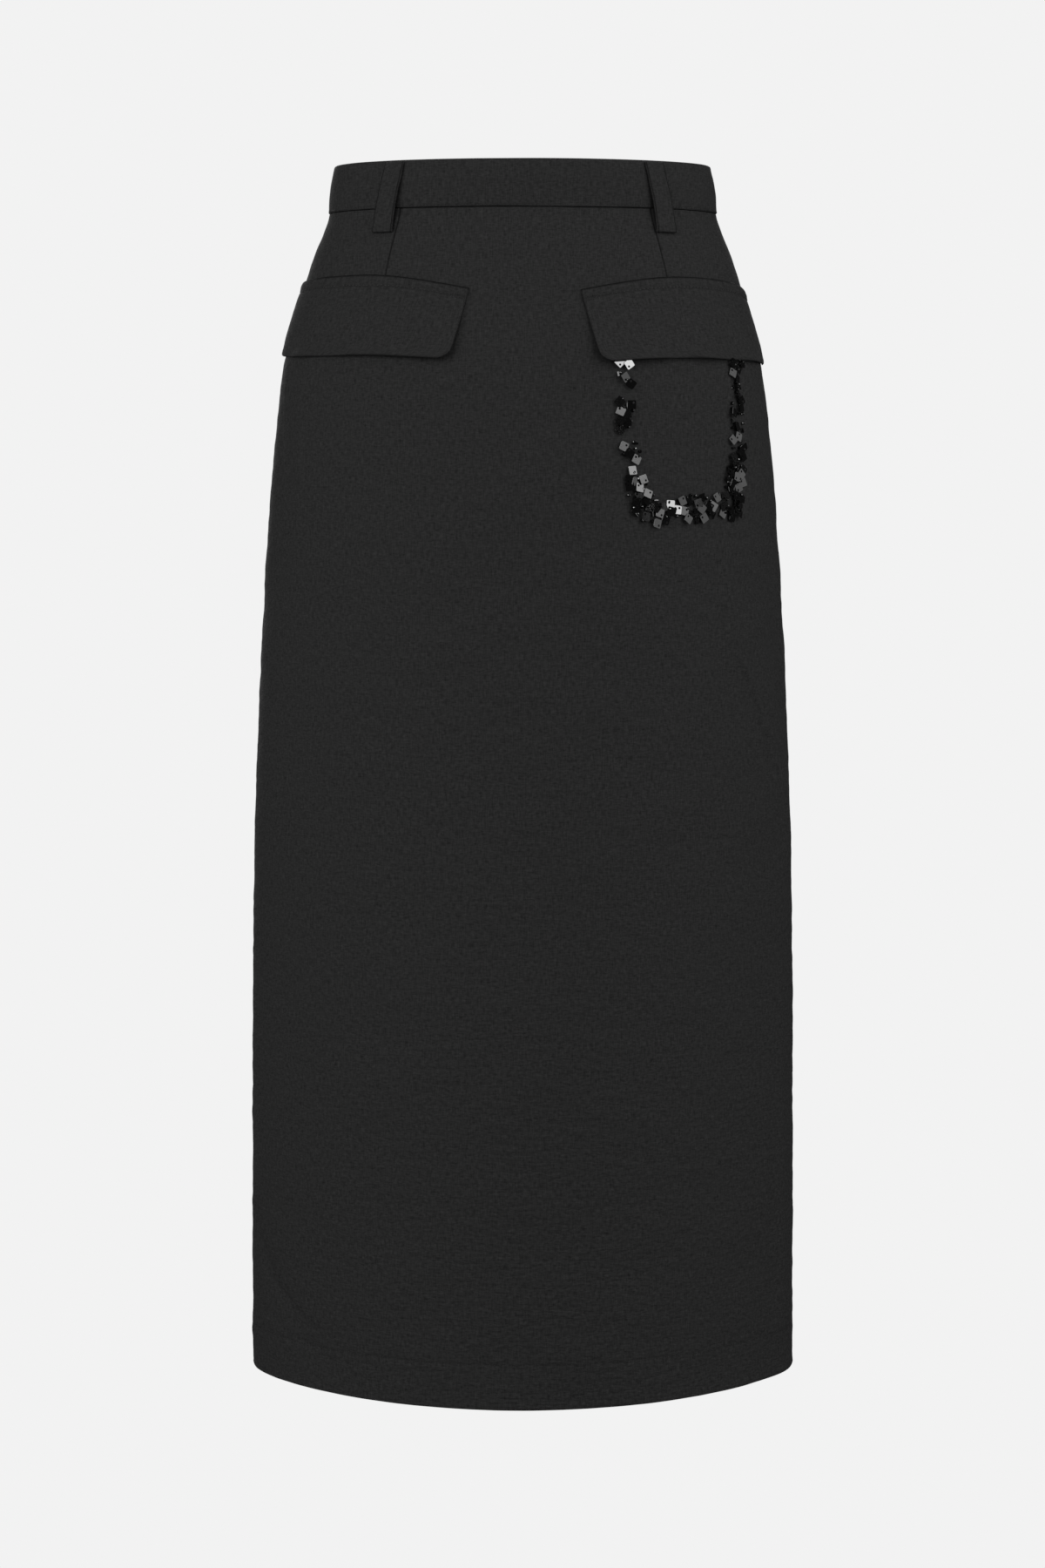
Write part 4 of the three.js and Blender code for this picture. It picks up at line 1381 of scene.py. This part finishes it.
def torus_mesh(name, rings):
    """A mesh that closes both ways, from a grid of points, with its faces pointing outwards."""
    count, sides = rings.shape[:2]
    numbers = grid_numbers(count, sides, 0)
    looped = np.pad(numbers, ((0, 1), (0, 1)), mode="wrap")
    mesh = bpy.data.meshes.new(name)
    mesh.from_pydata(rings.reshape(-1, 3).tolist(), [], grid_quads(looped).tolist())
    if signed_volume(mesh) < 0:
        mesh.flip_normals()
    made = bpy.data.objects.new(name, mesh)
    scene.collection.objects.link(made)
    return made


def one_sequin():
    """A square with soft corners and a round hole. Each ring runs from the hole over an edge and back."""
    turn = np.linspace(0, 2 * np.pi, SEQUIN_SIDES, endpoint=False)
    way = np.stack([np.cos(turn), np.sin(turn)], -1)
    outline = SEQUIN_SIZE / 2 * np.sign(way) * np.abs(way) ** SEQUIN_ROUNDNESS
    hole = SEQUIN_HOLE_SHIFT + SEQUIN_HOLE * way
    rings = []
    for share, height in SEQUIN_RING:
        flat = hole + (outline - hole) * share
        rings.append(np.concatenate([flat, np.full((SEQUIN_SIDES, 1), height * SEQUIN_THICK / 2)], 1))
    return torus_mesh("one sequin", np.stack(rings, 1))


sequin_form = one_sequin()
bead_form = lathe("one bead", BEAD_PROFILE, BEAD_SIZE, BEAD_SIZE, 9)
bugle_form = lathe("one bugle", BUGLE_PROFILE, BUGLE_SIZE, BUGLE_LENGTH, 7)
for form in (sequin_form, bead_form, bugle_form):
    volume = signed_volume(form.data) / MM**3
    print(form.name, "faces:", len(form.data.polygons), "volume in mm3:", round(volume, 2))

# %% [markdown]
# ## Scattering the trim
# The trim is sewn on by eye, so it is scattered at random inside a band of cloth, from a fixed seed. The
# band is a narrow strip that follows a list of places with a half width and a fill. The tree spreads
# points on it that keep a least distance, turns and tilts a copy of the form on each, and lifts it.

# %% Scatter tree and trim
FILL = "fill"
TRIM = (
    # x, z and half width in millimetres, then how full it is
    (65, -100, 4.5, 0.9), (65.2, -116, 4.5, 0.9), (65.4, -119, 4, 0.05), (65.7, -122.5, 4.5, 0.1),
    (66, -126, 5, 0.9), (66.5, -146, 4.5, 0.9), (67.5, -149.5, 4, 0.15), (69, -153, 5, 0.8),
    (71, -166, 5.5, 0.9), (72.3, -171.5, 4, 0.2), (73.5, -176, 5.5, 0.9), (76, -186, 7.5, 1),
    (80, -197, 8.5, 1), (86, -200, 7.5, 1), (95, -197, 6.5, 1), (104, -196, 7, 1), (113, -196, 8.5, 1),
    (121, -194, 6, 1), (129, -194.5, 7.5, 1), (136, -195, 8, 1), (137.5, -186, 6, 1), (139, -176, 5, 0.9),
    (141, -165, 4, 0.8), (141, -152, 4, 0.7), (141, -148, 3.5, 0.2), (140.8, -143, 4, 0.8),
    (140, -125, 3.5, 0.7), (139.8, -121, 3, 0.2), (140.6, -116, 3.5, 0.8), (140.8, -100, 3.5, 0.9),
)
TRIM_STEP = 2 * MM
TRIM_OUT = 0.35 * MM


def trim_patch(narrower):
    """The band of cloth that carries the trim, with its fill as an attribute."""
    table = np.array(TRIM)
    gone = np.concatenate([[0], np.cumsum(np.linalg.norm(np.diff(table[:, :2], axis=0), axis=1))]) * MM
    at = np.linspace(0, gone[-1], round(gone[-1] / TRIM_STEP))
    x, z, half, fill = [np.interp(at, gone, column) for column in table.T]
    way = np.gradient(np.stack([x, z], -1), axis=0)
    way /= np.linalg.norm(way, axis=1, keepdims=True)
    beside = np.stack([-way[:, 1], way[:, 0]], -1)[:, None] * half[:, None, None]
    share = np.linspace(-1, 1, 5)[None, :, None] * narrower
    flat = np.stack([x, z], -1)[:, None] + beside * share
    angle = np.degrees(np.arcsin(flat[..., 0] * MM / section_size("half", flat[..., 1] * MM)))
    points = cloth_point(angle, flat[..., 1] * MM, TRIM_OUT)
    mesh = bpy.data.meshes.new("trim patch")
    numbers = grid_numbers(*points.shape[:2], 0)
    mesh.from_pydata(points.reshape(-1, 3).tolist(), [], grid_quads(numbers).tolist())
    mesh.update()
    if mesh.polygons[0].normal.y > 0:
        mesh.flip_normals()
    values = np.repeat(fill, points.shape[1]).astype(np.float32)
    mesh.attributes.new(FILL, "FLOAT", "POINT").data.foreach_set("value", values)
    patch = bpy.data.objects.new("trim patch", mesh)
    scene.collection.objects.link(patch)
    return patch


def scatter_tree():
    graph = new_tree("scatter on a patch", (
        ("Form", "NodeSocketObject"), ("Distance", "NodeSocketFloat"), ("Density", "NodeSocketFloat"),
        ("Seed", "NodeSocketInt"), ("Least turn", "NodeSocketVector"), ("Most turn", "NodeSocketVector"),
        ("Least lift", "NodeSocketFloat"), ("Most lift", "NodeSocketFloat"),
        ("Material", "NodeSocketMaterial"),
    ))
    seed = given(graph, "Seed")
    fill = graph.add("GeometryNodeInputNamedAttribute", {"data_type": "FLOAT"}, {"Name": FILL})
    spread = {"Mesh": given(graph, "Geometry"), "Distance Min": given(graph, "Distance"),
              "Density Max": given(graph, "Density"), "Density Factor": fill, "Seed": seed}
    points = graph.add("GeometryNodeDistributePointsOnFaces", {"distribute_method": "POISSON"}, spread)
    node = points.socket.node
    normal, rotation = Wire(graph, node.outputs["Normal"]), Wire(graph, node.outputs["Rotation"])
    turn = graph.add("FunctionNodeRandomValue", {"data_type": "FLOAT_VECTOR"},
                     {0: given(graph, "Least turn"), 1: given(graph, "Most turn"), "Seed": seed})
    spin = graph.add("FunctionNodeEulerToRotation", sockets={"Euler": turn})
    turned = graph.add("FunctionNodeRotateRotation", {"rotation_space": "LOCAL"},
                       {"Rotation": rotation, "Rotate By": spin})
    lift = graph.add("FunctionNodeRandomValue", {"data_type": "FLOAT"},
                     {2: given(graph, "Least lift"), 3: given(graph, "Most lift"), "Seed": seed}, output=1)
    offset = graph.add("ShaderNodeVectorMath", {"operation": "SCALE"}, {0: normal, "Scale": lift})
    form = graph.add("GeometryNodeObjectInfo", sockets={"Object": given(graph, "Form")}, output="Geometry")
    placed = graph.add("GeometryNodeInstanceOnPoints",
                       sockets={"Points": points, "Instance": form, "Rotation": turned})
    moved = graph.add("GeometryNodeTranslateInstances", sockets={
        "Instances": placed, "Translation": offset, "Local Space": False})
    real = graph.add("GeometryNodeRealizeInstances", sockets={"Geometry": moved})
    finished = graph.add("GeometryNodeSetMaterial",
                         sockets={"Geometry": real, "Material": given(graph, "Material")})
    graph.end("NodeGroupOutput", "Geometry", finished)
    return graph.tree


SCUFF_LIGHTENS = 2.2


def gloss(name, tone, bumpiness, ripple):
    """Polished black film or glass, with a slight ripple and faint scuffs."""
    material, graph, shader = surface_material(name, Specular_IOR_Level=0.5, IOR=1.75)
    place = graph.add("ShaderNodeTexCoord", output="Object")
    ripples = noise(graph, place, ripple, ripple)
    scuffs = noise(graph, place, 0.5 * MM, 0.5 * MM, 4.0)
    link(graph, blend(graph, scuffs, grey(tone), grey(SCUFF_LIGHTENS * tone)), shader, "Base Color")
    link(graph, 0.04 + scuffs * 0.08, shader, "Roughness")
    raise_by(graph, ripples * bumpiness, shader)
    return material


sequin_film = gloss("black sequin film", 0.0015, 0.006 * MM, 4 * MM)
bead_glass = gloss("black bead glass", 0.0012, 0.004 * MM, 1 * MM)

SCATTER = scatter_tree()
FULL_TURN = 2 * math.pi
LYING = math.pi / 2
TRIM_KINDS = (
    # name, form, material, then the width of its patch, its least distance, density and seed, how it
    # lies and how far it tilts, and its least and most lift; in millimetres and radians
    ("trim_sequins", sequin_form, sequin_film, 1.0, 4.3, 90000.0, 4, 0, math.radians(15), 1.2, 2.2),
    ("trim_beads", bead_form, bead_glass, 1.1, 3.6, 60000.0, 9, LYING, 0.4, 0.6, 0.9),
    ("trim_bugles", bugle_form, bead_glass, 1.0, 7, 40000.0, 15, LYING, 0.15, 0.6, 0.9),
)
for name, form, material, width, distance, density, seed, lie, tilt, least, most in TRIM_KINDS:
    rows[name] = grown(
        trim_patch(width), name, SCATTER, Form=form, Distance=distance * MM, Density=density, Seed=seed,
        Least_turn=(lie - tilt, -tilt, 0), Most_turn=(lie + tilt, tilt, FULL_TURN),
        Least_lift=least * MM, Most_lift=most * MM, Material=material)
    print(name, "faces:", len(rows[name].data.polygons))
for form in (sequin_form, bead_form, bugle_form):
    bpy.data.objects.remove(form)

# %% [markdown]
# ## What each piece is
# Every piece rides on a body of the model and hides the solid that it covers, where it covers one.
# The size that each panel was cut to, without seam allowances, is printed with its area.

# %% Declarations
# The cut sizes are in metres.
TRIM_SLOTS = {"trim_sequins": "sequin", "trim_beads": "bead", "trim_bugles": "bead"}
CUT_BAND = 20 * MM


def declare(piece, slot, *nodes, body=BODY):
    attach(piece, body)
    if nodes:
        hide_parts(*nodes)


def cut_of(piece, length):
    """The greatest width of a panel's cut, and its area, from the widths along its UV map."""
    places = np.empty(len(piece.data.loops) * 2, np.float32)
    piece.data.uv_layers[UV_NAME].data.foreach_get("uv", places)
    across, down = places.reshape(-1, 2).T
    bands = np.floor(down / CUT_BAND).astype(int)
    widths = [np.ptp(across[bands == k]) for k in range(2, int(SKIRT_LENGTH / CUT_BAND))]
    return float(max(widths)), float(np.mean(widths)) * length


cut_length = SKIRT_LENGTH + HEM_DEPTH
for name, panel in panels.items():
    declare(panel, "cloth", name)
    width, area = cut_of(panel, cut_length)
    print(name, "cut in mm:", round(width / MM), "x", round(cut_length / MM), "area in m2:", round(area, 3))

declare(band, "cloth", "waistband")
for name, flap in flaps.items():
    declare(flap, "cloth", name)
for name, loop in loops.items():
    declare(loop, "cloth", name)
declare(tape, "zip_tape", "zip_tape")
declare(slider, "zip_metal", "zip_slider")
declare(pull, "zip_metal", "zip_pull", body=PULL_BODY)
for name, row in rows.items():
    declare(row, TRIM_SLOTS.get(name, "thread"))
